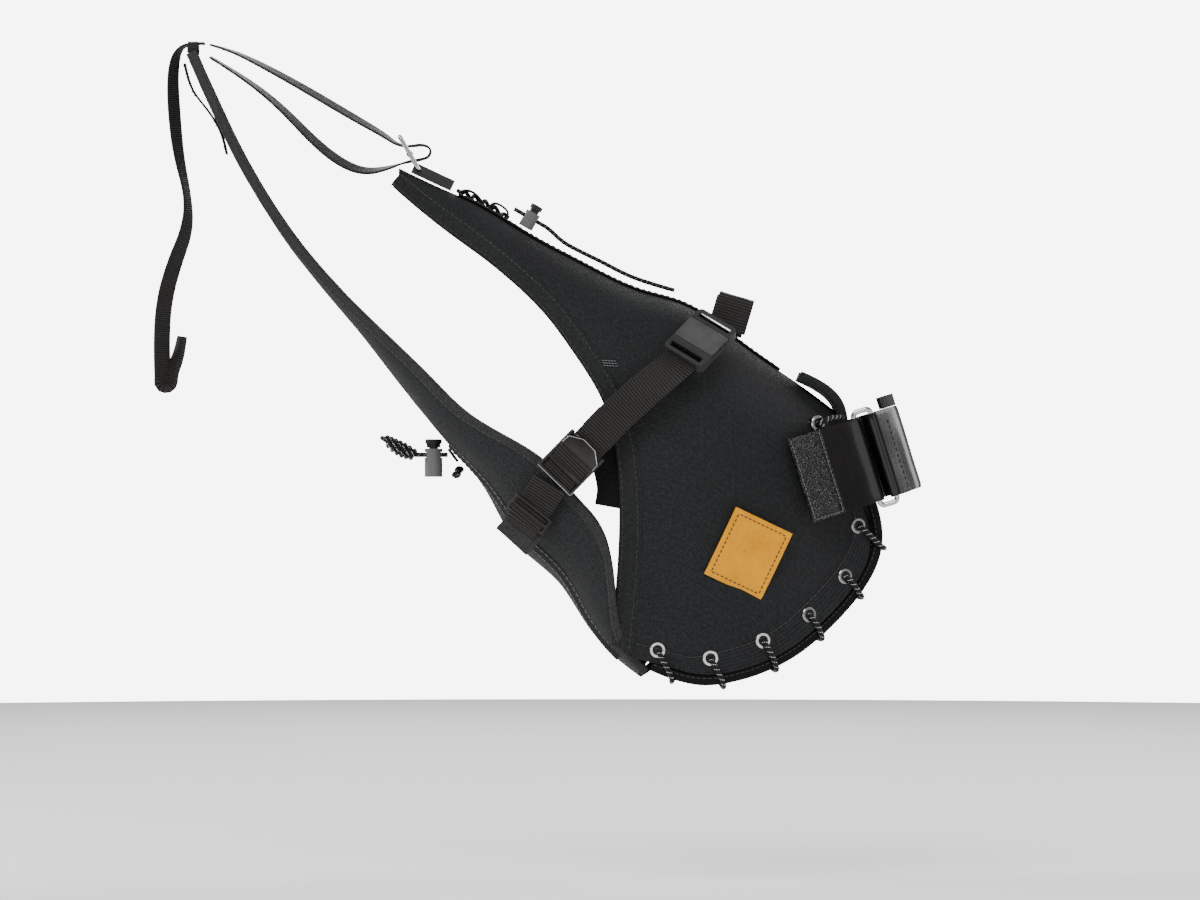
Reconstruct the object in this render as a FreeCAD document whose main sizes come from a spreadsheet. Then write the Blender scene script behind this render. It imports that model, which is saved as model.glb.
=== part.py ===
import FreeCAD, Part
import math
import os
import Sketcher

# Saddle-bag holster for a bicycle: an open fabric shell held to the seatpost and the saddle rails.
# +X is the riding direction, +Y the left side, +Z up. The origin is the centre of the seatpost clamp.

V = FreeCAD.Vector
DOC = FreeCAD.newDocument("SaddleBagHolster")

SIZES = {
    "post_radius": 13.6,
    "post_tilt": 17.3,
    "pad_thick": 2.2,
    "pad_long": 46.0,
    "strap_wide": 48.0,
    "strap_thick": 1.8,
    "hook_tape_long": 22.0,
    "hook_tape_thick": 1.2,
    "ring_long": 57.0,
    "ring_wide": 13.0,
    "ring_wire": 3.0,
    "fabric_thick": 0.9,
    "stiffener_thick": 0.9,
    "lining_thick": 0.6,
    "layer_gap": 0.1,
    "rim_deep": 5.5,
    "gusset_thick": 2.4,
    "eyelet_across": 9.0,
    "eyelet_bore": 5.0,
    "eyelet_thick": 1.6,
    "lace_diameter": 3.0,
    "label_long": 41.0,
    "label_wide": 36.0,
    "label_thick": 2.0,
    "web_wide": 20.0,
    "web_thick": 1.6,
    "lock_long": 28.0,
    "lock_wide": 25.0,
    "lock_thick": 3.2,
    "slider_long": 10.0,
    "slider_wide": 25.0,
    "slider_thick": 3.4,
    "buckle_long": 34.0,
    "buckle_wide": 26.0,
    "buckle_thick": 6.0,
    "plate_long": 15.5,
    "plate_wide": 26.0,
    "plate_thick": 2.0,
    "plate_room": 0.3,
    "magnet_across": 6.0,
    "magnet_thick": 1.5,
    "rail_radius": 3.5,
    "rail_loop_wide": 20.0,
    "narrow_wide": 10.0,
    "narrow_thick": 1.2,
    "spine_wide": 15.0,
    "spine_thick": 1.3,
    "keeper_long": 24.0,
    "keeper_wide": 10.6,
    "keeper_thick": 6.0,
    "tongue_ring_long": 24.0,
    "tongue_ring_wide": 17.0,
    "tongue_ring_wire": 2.6,
    "plunger_head": 2.6,
    "spring_wire": 0.6,
}

SHEET = DOC.addObject("Spreadsheet::Sheet", "Sizes")
for row, (alias, value) in enumerate(SIZES.items(), start=1):
    SHEET.set(f"A{row}", alias)
    SHEET.set(f"B{row}", str(value))
    SHEET.setAlias(f"B{row}", alias)
DOC.recompute()

NODES = {}


def size(alias):
    """A driving dimension, read from the sheet."""
    return float(getattr(SHEET, alias))


# ---------------------------------------------------------------- shape of the bag

# Ridge of the shell: x, height of the ridge, half width of the shell there.
SHELL_STATIONS = (
    (-271.0, 160.0, 15.0), (-248.0, 149.0, 20.0), (-226.0, 139.0, 26.0), (-198.0, 122.0, 35.0),
    (-170.0, 107.0, 45.0), (-136.0, 91.0, 54.0), (-108.0, 82.0, 57.0), (-80.0, 62.0, 53.0),
    (-50.0, 41.0, 41.0), (-27.0, 24.0, 28.0), (-10.0, 10.0, 20.0), (6.0, -4.0, 17.0),
)
SHELL_FLOOR = -140.0

# Free edge at the mouth, from the tongue's tip down to the lower corner.
MOUTH_EDGE = ((-271.5, 158.0), (-248.0, 140.0), (-226.0, 124.0), (-204.0, 106.0), (-181.0, 84.0),
              (-164.0, 61.0), (-146.0, 30.0), (-137.0, -10.0), (-136.0, -48.0), (-138.0, -82.0),
              (-141.0, -112.0))
# Laced edge, from the lower corner round the bottom and up behind the seatpost.
LACED_EDGE = ((-141.0, -112.0), (-125.0, -116.0), (-103.0, -121.3), (-80.0, -118.3), (-54.0, -107.3),
              (-34.0, -91.3), (-17.0, -72.3), (-9.0, -55.0), (-8.8, -43.0), (-15.5, -22.0),
              (-22.0, -4.0), (-26.0, 12.0))
# Outer line of the piped rim that stands outside the laced edge.
RIM_LINE = ((-131.0, -119.5), (-125.0, -122.0), (-103.0, -127.5), (-80.0, -124.5), (-52.0, -113.0),
            (-30.0, -96.0), (-12.0, -76.0), (-2.5, -57.0), (-1.0, -43.0), (-6.0, -22.0),
            (-12.0, -2.0), (-16.0, 10.0))
# Outer face of the gusset's sheet, which keeps clear of the post and its pad.
GUSSET_LINE = ((-131.0, -118.0), (-125.0, -120.0), (-103.0, -125.5), (-80.0, -122.5), (-52.6, -111.2),
               (-31.5, -94.4), (-14.0, -75.0), (-5.5, -57.0), (-5.0, -43.0), (-12.0, -22.0),
               (-18.3, -2.0), (-22.0, 10.0))
FLAP_LINE = ((-22.9, 13.8), (-26.2, 28.6), (-35.5, 37.6), (-47.5, 43.6))


def curve(points):
    """Smooth line through the points."""
    spline = Part.BSplineCurve()
    spline.interpolate([V(*p) for p in points])
    return spline.toShape()


def side_points(points, y=0.0):
    """Points of the side view, x and z, as 3-D points."""
    return [(x, y, z) for x, z in points]


def shifted(points, distance):
    """Side-view points moved square to their line, to the left of its run when distance is positive."""
    moved = []
    for index, (x, z) in enumerate(points):
        before = points[max(index - 1, 0)]
        after = points[min(index + 1, len(points) - 1)]
        run_x = after[0] - before[0]
        run_z = after[1] - before[1]
        length = math.hypot(run_x, run_z)
        moved.append((x - run_z / length * distance, z + run_x / length * distance))
    return moved


def face_of(*edges):
    return Part.Face(Part.Wire(Part.__sortEdges__(list(edges))))


def band(points, near, far, reach=90.0):
    """Slab that follows a side-view line between two distances from it, reaching sideways both ways."""
    low = side_points(shifted(points, near), -reach)
    high = side_points(shifted(points, far), -reach)
    ends = (Part.makeLine(V(*low[0]), V(*high[0])), Part.makeLine(V(*low[-1]), V(*high[-1])))
    return face_of(curve(low), curve(high), *ends).extrude(V(0, 2.0 * reach, 0))


def plan_points(extra):
    return [(x, half + extra) for x, _, half in SHELL_STATIONS]


def plan_slab(inner, outer, side):
    """Upright wall between two offsets of the shell's half width, on one side of the bag."""
    top = 260.0
    low = [(x, side * half, -top) for x, half in plan_points(inner)]
    high = [(x, side * half, -top) for x, half in plan_points(outer)]
    ends = (Part.makeLine(V(*low[0]), V(*high[0])), Part.makeLine(V(*low[-1]), V(*high[-1])))
    return face_of(curve(low), curve(high), *ends).extrude(V(0, 0, 2.0 * top))


def plan_core(inset):
    """Upright block of everything further in than the shell's half width less the inset."""
    top = 260.0
    left = [(x, half, -top) for x, half in plan_points(-inset)]
    right = [(x, -half, -top) for x, half in plan_points(-inset)]
    ends = (Part.makeLine(V(*left[0]), V(*right[0])), Part.makeLine(V(*left[-1]), V(*right[-1])))
    return face_of(curve(left), curve(right), *ends).extrude(V(0, 0, 2.0 * top))


PLAN_CURVE = Part.BSplineCurve()
PLAN_CURVE.interpolate([V(x, half, 0) for x, _, half in SHELL_STATIONS])


def half_width(x):
    """Half width of the shell at a place along it."""
    hits = PLAN_CURVE.intersect(Part.Line(V(x, 0, 0), V(x, 1, 0)))
    return hits[0].Y


def shell_section(x, ridge, half, side, near, far):
    """Half arch and upright leg, between two depths in from the outer face."""
    centre = ridge - half
    edges = []
    for depth in (near, far):
        radius = half - depth
        diagonal = radius * math.sqrt(0.5)
        arc = Part.Arc(V(x, 0, centre + radius), V(x, side * diagonal, centre + diagonal),
                       V(x, side * radius, centre))
        edges.append(arc.toShape())
        edges.append(Part.makeLine(V(x, side * radius, centre), V(x, side * radius, SHELL_FLOOR)))
    edges.append(Part.makeLine(V(x, 0, ridge - near), V(x, 0, ridge - far)))
    edges.append(Part.makeLine(V(x, side * (half - near), SHELL_FLOOR), V(x, side * (half - far), SHELL_FLOOR)))
    return Part.Wire(Part.__sortEdges__(edges))


def side_outline(inset):
    """Side view of the panel as a block: mouth edge, laced edge, and open above the ridge."""
    high = 230.0
    mouth = side_points(shifted(MOUTH_EDGE, inset), -90.0)
    laced = side_points(shifted(LACED_EDGE, inset), -90.0)
    laced[0] = mouth[-1]
    corners = [V(*laced[-1]), V(laced[-1][0], -90.0, high), V(mouth[0][0], -90.0, high), V(*mouth[0])]
    lines = [Part.makeLine(a, b) for a, b in zip(corners, corners[1:])]
    return face_of(curve(mouth), curve(laced), *lines).extrude(V(0, 180.0, 0))


def shell_layer(side, near, far, inset):
    """One layer of a side panel, trimmed to the side view."""
    sections = [shell_section(x, ridge, half, side, near, far) for x, ridge, half in SHELL_STATIONS]
    solid = Part.makeLoft(sections, True, False)
    return solid.common(side_outline(inset))


# Keel of the lower panel: x, z, depth of its channel, half width.
KEEL_STATIONS = (
    (-136.5, -124.5, 7.0, 49.0), (-150.0, -114.0, 10.0, 50.5), (-166.0, -96.0, 20.0, 54.5),
    (-183.0, -71.0, 36.0, 56.0), (-205.0, -51.0, 42.0, 56.0), (-222.0, -22.0, 35.0, 52.0),
    (-246.0, 8.0, 20.0, 44.0), (-266.5, 33.0, 15.5, 38.0), (-293.0, 67.0, 11.0, 30.0),
    (-327.0, 108.0, 8.0, 23.0), (-361.0, 162.0, 6.0, 17.0), (-389.0, 224.0, 4.6, 12.0),
)


def keel_inward(index):
    """Direction square to the keel, towards the inside of the channel."""
    before = KEEL_STATIONS[max(index - 1, 0)]
    after = KEEL_STATIONS[min(index + 1, len(KEEL_STATIONS) - 1)]
    run = V(after[0] - before[0], 0, after[1] - before[1]).normalize()
    return V(run.z, 0, -run.x)


def channel_line(index, inset):
    """Smooth U across the lower panel at one station, set in from its outer face."""
    x, z, depth, half = KEEL_STATIONS[index]
    inward = keel_inward(index)
    points = []
    for step in range(-4, 5):
        angle = step / 4.0 * math.pi / 2.0
        across = math.copysign(abs(math.sin(angle)) ** 0.8, angle) * (half - inset)
        rise = inset + (depth - inset) * (1.0 - abs(math.cos(angle)) ** 0.8)
        points.append(V(x, across, z) + inward * rise)
    spline = Part.BSplineCurve()
    spline.interpolate(points)
    return spline.toShape(), points[0], points[-1]


def channel_layer(near, far):
    """One layer of the lower panel."""
    wires = []
    for index in range(len(KEEL_STATIONS)):
        outer, outer_right, outer_left = channel_line(index, near)
        inner, inner_right, inner_left = channel_line(index, far)
        ends = (Part.makeLine(outer_right, inner_right), Part.makeLine(outer_left, inner_left))
        wires.append(Part.Wire(Part.__sortEdges__([outer, inner, *ends])))
    return Part.makeLoft(wires, True, False)


# ---------------------------------------------------------------- making nodes


def keep(label, thing):
    """Give the document object its node name and remember it."""
    thing.Label = label
    NODES[label] = thing
    return thing


def feature(label, shape, placement=None):
    """A shape that no parametric feature describes well, as a node of its own."""
    thing = DOC.addObject("Part::Feature", label)
    thing.Shape = shape
    if placement is not None:
        thing.Placement = placement
    return keep(label, thing)


def mirrored(source, label):
    """The same piece on the left side of the bag."""
    thing = DOC.addObject("Part::Mirroring", label)
    thing.Source = source
    thing.Normal = V(0, 1, 0)
    return keep(label, thing)


def aligned(origin, along, outward):
    """Placement that puts local X along the piece and local Z outward."""
    along = V(*along).normalize()
    outward = V(*outward)
    outward = (outward - along * outward.dot(along)).normalize()
    across = outward.cross(along)
    return FreeCAD.Placement(V(*origin), FreeCAD.Rotation(along, across, outward, "XZY"))


def body_plane(body, role):
    return [item for item in body.Origin.OriginFeatures if item.Role == role][0]


def new_sketch(body, role, name, lift="0"):
    sketch = body.newObject("Sketcher::SketchObject", name)
    sketch.AttachmentSupport = [(body_plane(body, role), "")]
    sketch.MapMode = "FlatFace"
    sketch.setExpression("AttachmentOffset.Base.z", lift)
    return sketch


def box_outline(sketch, wide, tall, middle_x="0", middle_y="0"):
    """Rectangle whose sides and place are bound to the sheet."""
    first = sketch.GeometryCount
    corners = [V(-5, -5, 0), V(5, -5, 0), V(5, 5, 0), V(-5, 5, 0)]
    for index in range(4):
        sketch.addGeometry(Part.LineSegment(corners[index], corners[(index + 1) % 4]), False)
    for index in range(4):
        sketch.addConstraint(Sketcher.Constraint("Coincident", first + index, 2, first + (index + 1) % 4, 1))
    for index, kind in enumerate(("Horizontal", "Vertical", "Horizontal", "Vertical")):
        sketch.addConstraint(Sketcher.Constraint(kind, first + index))
    bindings = (
        ("DistanceX", first, 1, first, 2, 10.0, wide),
        ("DistanceY", first + 1, 1, first + 1, 2, 10.0, tall),
        ("DistanceX", -1, 1, first, 1, -5.0, f"({middle_x}) - ({wide}) / 2"),
        ("DistanceY", -1, 1, first, 1, -5.0, f"({middle_y}) - ({tall}) / 2"),
    )
    for kind, geo_a, pos_a, geo_b, pos_b, start, rule in bindings:
        number = sketch.addConstraint(Sketcher.Constraint(kind, geo_a, pos_a, geo_b, pos_b, start))
        sketch.setExpression(f"Constraints[{number}]", rule)


def pad(body, sketch, name, height):
    solid = body.newObject("PartDesign::Pad", name)
    solid.Profile = sketch
    solid.SideType = "Symmetric"
    solid.setExpression("Length", height)
    DOC.recompute()
    return solid


def pocket(body, sketch, name, depth):
    """Cut both ways from the sketch's plane, and check that material really goes."""
    before = body.Shape.Volume
    cut = body.newObject("PartDesign::Pocket", name)
    cut.Profile = sketch
    cut.SideType = "Symmetric"
    cut.setExpression("Length", depth)
    DOC.recompute()
    if body.Shape.Volume >= before:
        raise RuntimeError(f"{name} cuts nothing")
    return cut


def upright_edges(solid, shortest=0.5):
    """Names of the edges that run along local Z at the four outer corners."""
    box = solid.Shape.BoundBox
    found = []
    for number, edge in enumerate(solid.Shape.Edges, start=1):
        start, end = edge.Vertexes[0].Point, edge.Vertexes[-1].Point
        upright = abs(start.x - end.x) < 1e-6 and abs(start.y - end.y) < 1e-6
        at_x = min(abs(start.x - box.XMin), abs(start.x - box.XMax)) < 1e-6
        at_y = min(abs(start.y - box.YMin), abs(start.y - box.YMax)) < 1e-6
        if upright and at_x and at_y and edge.Length > shortest:
            found.append(f"Edge{number}")
    return found


def plate(label, long, wide, thick, corner, windows=()):
    """Flat piece with rounded corners and rectangular windows, local X along it and local Z through it."""
    body = DOC.addObject("PartDesign::Body", label)
    outline = new_sketch(body, "XY_Plane", f"{label}_outline")
    box_outline(outline, long, wide)
    base = pad(body, outline, f"{label}_pad", thick)
    rounding = body.newObject("PartDesign::Fillet", f"{label}_corners")
    rounding.Base = (base, upright_edges(base))
    rounding.Radius = corner
    DOC.recompute()
    for number, (window_long, window_wide, middle_x, middle_y, depth, lift) in enumerate(windows, start=1):
        opening = new_sketch(body, "XY_Plane", f"{label}_window_{number}", lift)
        box_outline(opening, window_long, window_wide, middle_x, middle_y)
        pocket(body, opening, f"{label}_cut_{number}", depth)
    return keep(label, body)


def placed(thing, placement):
    thing.Placement = placement
    DOC.recompute()
    return thing


def wire_loop(label, long, wide, wire, corner):
    """Closed loop of round wire with rounded corners, long along local X."""
    body = DOC.addObject("PartDesign::Body", label)
    path = new_sketch(body, "XY_Plane", f"{label}_path")
    half_long = (size(long) - size(wire)) / 2.0
    half_wide = (size(wide) - size(wire)) / 2.0
    bend = min(corner, half_wide - 0.01)
    straight_x = half_long - bend
    straight_y = half_wide - bend
    corners = ((1, 1, 0), (-1, 1, 90), (-1, -1, 180), (1, -1, 270))
    edges = []
    for sign_x, sign_y, start in corners:
        centre = V(sign_x * straight_x, sign_y * straight_y, 0)
        circle = Part.Circle(centre, V(0, 0, 1), bend)
        edges.append(Part.ArcOfCircle(circle, math.radians(start), math.radians(start + 90)))
    ends = [(edge.StartPoint, edge.EndPoint) for edge in edges]
    for index in range(4):
        edges.append(Part.LineSegment(ends[index][1], ends[(index + 1) % 4][0]))
    for edge in edges:
        path.addGeometry(edge, False)
    profile = new_sketch(body, "YZ_Plane", f"{label}_profile")
    profile.addGeometry(Part.Circle(V(half_wide, 0, 0), V(0, 0, 1), 1.0), False)
    profile.addConstraint(Sketcher.Constraint("Radius", 0, size(wire) / 2.0))
    profile.setExpression("Constraints[0]", f"Sizes.{wire} / 2")
    DOC.recompute()
    sweep = body.newObject("PartDesign::AdditivePipe", f"{label}_sweep")
    sweep.Profile = profile
    sweep.Spine = path
    DOC.recompute()
    return keep(label, body)


# ---------------------------------------------------------------- straps and cords

CORD_REPORT = []


def rounded_route(points):
    """Straight runs joined by tangent arcs, each as large as its two runs allow."""
    points = [V(*p) for p in points]
    edges = []
    radii = []
    start = points[0]
    for index in range(1, len(points) - 1):
        corner = points[index]
        run_in = (corner - points[index - 1])
        run_out = (points[index + 1] - corner)
        shorter = min(run_in.Length, run_out.Length)
        turn = run_in.getAngle(run_out)
        reach = 0.45 * shorter
        radius = reach / math.tan(turn / 2.0)
        radii.append(radius)
        enter = corner - V(run_in).normalize() * reach
        leave = corner + V(run_out).normalize() * reach
        inward = (V(run_out).normalize() - V(run_in).normalize()).normalize()
        centre = corner + inward * (radius / math.cos(turn / 2.0))
        middle = centre - inward * radius
        edges.append(Part.LineSegment(start, enter).toShape())
        edges.append(Part.Arc(enter, middle, leave).toShape())
        start = leave
    edges.append(Part.LineSegment(start, points[-1]).toShape())
    return Part.Wire(edges), radii


def report_tube(label, solid, area, path, radii):
    share = solid.Volume / (area * path.Length)
    tightest = min(radii) if radii else 0.0
    CORD_REPORT.append(f"{label}: length {path.Length:.1f} mm, tightest arc {tightest:.1f} mm, volume {share:.3f}")


def cord_solid(label, points, diameter):
    """Round cord along a route."""
    path, radii = rounded_route(points)
    first = path.Edges[0]
    direction = (first.Vertexes[1].Point - first.Vertexes[0].Point).normalize()
    circle = Part.makeCircle(diameter / 2.0, first.Vertexes[0].Point, direction)
    solid = path.makePipeShell([Part.Wire(circle)], True, False)
    report_tube(label, solid, math.pi * diameter ** 2 / 4.0, path, radii)
    return solid


def strap_solid(label, points, wide, thick, across=(0, 1, 0)):
    """Flat strap along a route that lies in one plane, its width square to that plane."""
    path, radii = rounded_route(points)
    first = path.Edges[0]
    start = first.Vertexes[0].Point
    direction = (first.Vertexes[1].Point - start).normalize()
    across = V(*across)
    normal = direction.cross(across)
    corners = []
    for sign_a, sign_b in ((-1, -1), (1, -1), (1, 1), (-1, 1), (-1, -1)):
        corners.append(start + across * (sign_a * wide / 2.0) + normal * (sign_b * thick / 2.0))
    sweep = Part.BRepOffsetAPI.MakePipeShell(path)
    sweep.setBiNormalMode(across)
    sweep.add(Part.makePolygon(corners))
    sweep.build()
    sweep.makeSolid()
    solid = sweep.shape()
    report_tube(label, solid, wide * thick, path, radii)
    return solid


def side_route(points, y=0.0):
    return [(x, y, z) for x, z in points]


# ---------------------------------------------------------------- bag shell

OUTER = size("fabric_thick")
STIFF_FROM = OUTER + size("layer_gap")
STIFF_TO = STIFF_FROM + size("stiffener_thick")
LINING_FROM = STIFF_TO + size("layer_gap")
LINING_TO = LINING_FROM + size("lining_thick")

# Eyelets along the laced edge, and where each loop of the lacing turns over the rim.
EYELETS = ((-127.0, -108.0), (-98.0, -112.5), (-69.0, -103.0), (-43.0, -89.0), (-22.5, -68.0),
           (-15.0, -40.0), (-38.0, 17.0))
RIM_TURNS = ((-119.0, -123.8), (-91.0, -126.8), (-62.0, -118.0), (-36.5, -101.5), (-14.0, -79.0),
             (-1.5, -52.0))


def surface_normal(x):
    """Outward direction of the right panel's upright wall."""
    slope = (half_width(x + 1.0) - half_width(x - 1.0)) / 2.0
    return V(-slope, -1.0, 0).normalize()


def eyelet_ring(x, z):
    """Rolled metal ring set through the right panel."""
    radius = size("eyelet_across") / 2.0
    bore = size("eyelet_bore") / 2.0
    wall = LINING_TO
    lip = size("eyelet_thick") / 2.0
    bulge = (radius - bore) / 2.0
    outward = surface_normal(x)
    face = V(x, -half_width(x), z)
    ring = Part.makeTorus(bore + bulge, bulge, face, outward)
    squash = Part.makeCylinder(radius + 1.0, lip * 2.0, face - outward * lip, outward)
    lipped = ring.common(squash)
    sleeve_from = face - outward * (wall + 0.6)
    sleeve = Part.makeCylinder(bore + 0.5, wall + 0.6, sleeve_from, outward)
    sleeve = sleeve.cut(Part.makeCylinder(bore, wall + 0.6, sleeve_from, outward))
    return lipped.fuse(sleeve).removeSplitter()


def eyelet_holes():
    """Round holes through the right panel for the eyelets' sleeves."""
    cutters = []
    for x, z in EYELETS:
        outward = surface_normal(x)
        start = V(x, -half_width(x), z) - outward * 8.0
        cutters.append(Part.makeCylinder(size("eyelet_bore") / 2.0 + 0.6, 16.0, start, outward))
    return Part.makeCompound(cutters)


HOLES = eyelet_holes()
LAYERS = (
    ("panel", 0.0, OUTER, 0.0),
    ("stiffener", STIFF_FROM, STIFF_TO, 5.0),
    ("lining", LINING_FROM, LINING_TO, 0.3),
)
for layer, near, far, inset in LAYERS:
    layer_solids = shell_layer(-1, near, far, inset).cut(HOLES).Solids
    right = feature(f"side_{layer}_right", max(layer_solids, key=lambda solid: solid.Volume))
    mirrored(right, f"side_{layer}_left")


def both_sides(shapes):
    """Right-hand shapes and their mirror images, as one group."""
    opposite = [shape.mirror(V(0, 0, 0), V(0, 1, 0)) for shape in shapes]
    return Part.makeCompound(list(shapes) + opposite)


feature("eyelets", both_sides([eyelet_ring(x, z) for x, z in EYELETS]))

gusset = band(GUSSET_LINE, 0.0, size("gusset_thick")).common(plan_core(3.5))
feature("gusset_strip", gusset)
rim = band(RIM_LINE, 0.0, size("rim_deep")).common(plan_slab(-3.0, 1.5, -1))
mirrored(feature("rim_piping_right", rim), "rim_piping_left")
flap = strap_solid("gusset_flap", side_route(FLAP_LINE), 40.0, 2.0)
feature("gusset_flap", flap)

LABEL_CENTRE = (-77.5, -55.0)
LABEL_STANDS_OFF = 3.6
label = plate("side_label", "Sizes.label_long", "Sizes.label_wide", "Sizes.label_thick", 1.5)
label_out = surface_normal(LABEL_CENTRE[0])
label_at = V(LABEL_CENTRE[0], -half_width(LABEL_CENTRE[0]), LABEL_CENTRE[1]) + label_out * LABEL_STANDS_OFF
placed(label, aligned(label_at, (0.43, 0.0, 0.90), label_out))


def lacing_route():
    """Out of each eyelet, forward over the rim, back in under it and along the inside to the next one."""
    route = []
    clear = size("lace_diameter") / 2.0
    for index, (x, z) in enumerate(EYELETS):
        outward = surface_normal(x)
        at_eyelet = V(x, -half_width(x), z)
        route.append(at_eyelet - outward * 7.5)
        route.append(at_eyelet + outward * (clear + 1.7))
        if index == len(RIM_TURNS):
            break
        turn_x, turn_z = RIM_TURNS[index]
        away = outward_of_rim(turn_x, turn_z)
        over = V(turn_x, -half_width(turn_x), turn_z)
        side_out = surface_normal(turn_x)
        route.append(over + side_out * (clear + 2.0) - away * 1.0)
        route.append(over - side_out * 1.5 + away * (clear + 1.2))
        route.append(over - side_out * 9.0 - away * 2.0)
        route.append(over - side_out * 9.5 - away * 10.0)
    return route


def outward_of_rim(x, z):
    """Direction square to the rim, away from the bag, at the nearest stretch of it."""
    inner_points = range(1, len(RIM_LINE) - 1)
    nearest = min(inner_points, key=lambda i: math.hypot(RIM_LINE[i][0] - x, RIM_LINE[i][1] - z))
    run_x = RIM_LINE[nearest + 1][0] - RIM_LINE[nearest - 1][0]
    run_z = RIM_LINE[nearest + 1][1] - RIM_LINE[nearest - 1][1]
    return V(run_z, 0, -run_x).normalize()


LACE_ROUTE = lacing_route()
# The last stretch leaves the top eyelet and runs forward under the seatpost strap.
LACE_ROUTE.append(V(-31.0, -34.5, 20.5))
LACE_ROUTE.append(V(-24.0, -27.0, 20.5))
lacing = feature("lacing_right", cord_solid("lacing", LACE_ROUTE, size("lace_diameter")))
mirrored(lacing, "lacing_left")

RIDGE = tuple((x, ridge) for x, ridge, _ in SHELL_STATIONS if x < -45.0)
spine_half = size("spine_wide") / 2.0
spine = band(RIDGE, 0.8, 0.8 + size("spine_thick"), spine_half)
feature("spine_webbing", spine.common(Part.makeBox(182.0, 40.0, 200.0, V(-239.0, -20.0, 0.0))))
SPINE_ARCH = ((-236.5, 147.4), (-233.0, 150.4), (-227.0, 148.6), (-224.8, 142.2))
feature("spine_loop", strap_solid("spine_loop", side_route(SPINE_ARCH), size("narrow_wide"), 1.2))

# ---------------------------------------------------------------- seatpost fastening

POST_TURN = FreeCAD.Placement(V(0, 0, 0), FreeCAD.Rotation(V(0, 1, 0), -size("post_tilt")))


def post_route(points):
    """Points square to the post: forward and to the left of its axis."""
    return [V(forward, left, 0) for forward, left in points]


def post_strap(label, points, wide, thick):
    """Strap that is wrapped round the post, its width along the post."""
    solid = strap_solid(label, post_route(points), wide, thick, (0, 0, 1))
    return feature(label, solid, POST_TURN)


STRAP = size("strap_thick")
STRAP_RADIUS = size("post_radius") + 0.1 + STRAP / 2.0
RING_SIDE = -25.5
RING_MIDDLE = -5.9
BAR_FRONT = RING_MIDDLE + (size("ring_wide") - size("ring_wire")) / 2.0
BAR_REAR = RING_MIDDLE - (size("ring_wide") - size("ring_wire")) / 2.0
BAR_CLEAR = (size("ring_wire") + STRAP) / 2.0 + 0.15


def post_wrap():
    """Sewn lap, round the ring's front bar, round the front of the post and back to the far side of the bag."""
    bar = V(BAR_FRONT, RING_SIDE, 0)
    swing = math.acos((STRAP_RADIUS + BAR_CLEAR) / bar.Length)
    aim = math.atan2(bar.y, bar.x) + swing
    square = V(math.cos(aim), math.sin(aim), 0)
    run = V(-square.y, square.x, 0)
    touch = square * STRAP_RADIUS
    start = bar - square * BAR_CLEAR
    outer_end = bar + square * BAR_CLEAR
    middle = bar - run * BAR_CLEAR
    front = V(STRAP_RADIUS, 0, 0)
    leave = V(touch.x, -touch.y, 0)
    far_end = V(start.x, -start.y, 0)
    sewn = V(-27.0, 31.5, 0)
    lap_end = outer_end + run * 9.0
    edges = [
        Part.makeLine(lap_end, outer_end),
        Part.Arc(outer_end, middle, start).toShape(),
        Part.makeLine(start, touch),
        Part.Arc(touch, front, leave).toShape(),
        Part.makeLine(leave, far_end),
        Part.makeLine(far_end, sewn),
    ]
    return Part.Wire(edges)


def thick_profile(path, thick, tall):
    """Solid of a strap whose centre line is a plane wire, standing along local Z."""
    sweep = Part.BRepOffsetAPI.MakePipeShell(path)
    sweep.setBiNormalMode(V(0, 0, 1))
    sweep.setTransitionMode(1)
    first = path.Edges[0]
    start = path.OrderedVertexes[0].Point
    direction = first.tangentAt(first.FirstParameter)
    normal = direction.cross(V(0, 0, 1))
    corners = []
    for sign_a, sign_b in ((-1, -1), (1, -1), (1, 1), (-1, 1), (-1, -1)):
        corners.append(start + V(0, 0, sign_a * tall / 2.0) + normal * (sign_b * thick / 2.0))
    sweep.add(Part.makePolygon(corners))
    sweep.build()
    sweep.makeSolid()
    return sweep.shape()


feature("post_strap", thick_profile(post_wrap(), STRAP, size("strap_wide")), POST_TURN)


ring = wire_loop("post_ring", "ring_long", "ring_wide", "ring_wire", 2.6)
ring.Placement = POST_TURN.multiply(
    FreeCAD.Placement(V(RING_MIDDLE, RING_SIDE, 0), FreeCAD.Rotation(V(0, 0, 1), V(-1, 0, 0), V(0, -1, 0), "XZY")))

PAD_OUTER = size("post_radius") + size("pad_thick")
pad_ring = Part.makeCylinder(PAD_OUTER, size("pad_long"), V(0, 0, -size("pad_long") / 2.0))
pad_ring = pad_ring.cut(Part.makeCylinder(size("post_radius"), size("pad_long"), V(0, 0, -size("pad_long") / 2.0)))
pad_wedge = Part.makeBox(20.0, 40.0, size("pad_long"), V(-20.0, -20.0, -size("pad_long") / 2.0))
pad_wedge = pad_wedge.common(pad_ring)
feature("post_pad", pad_wedge.common(Part.makeBox(20.0, 40.0, 60.0, V(-25.0, -20.0, -30.0))), POST_TURN)

BASE_PLY = ((-16.1, -26.7), (-21.0, -29.5), (-31.0, -35.5), (-40.0, -40.2))
BASE_WIDE = 46.0
PLY_THICK = 1.4
post_strap("post_strap_base", BASE_PLY, BASE_WIDE, PLY_THICK)

# Where the tab's turn round the rear bar starts, seen along the post.
TAB_START = math.radians(12.0)


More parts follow.
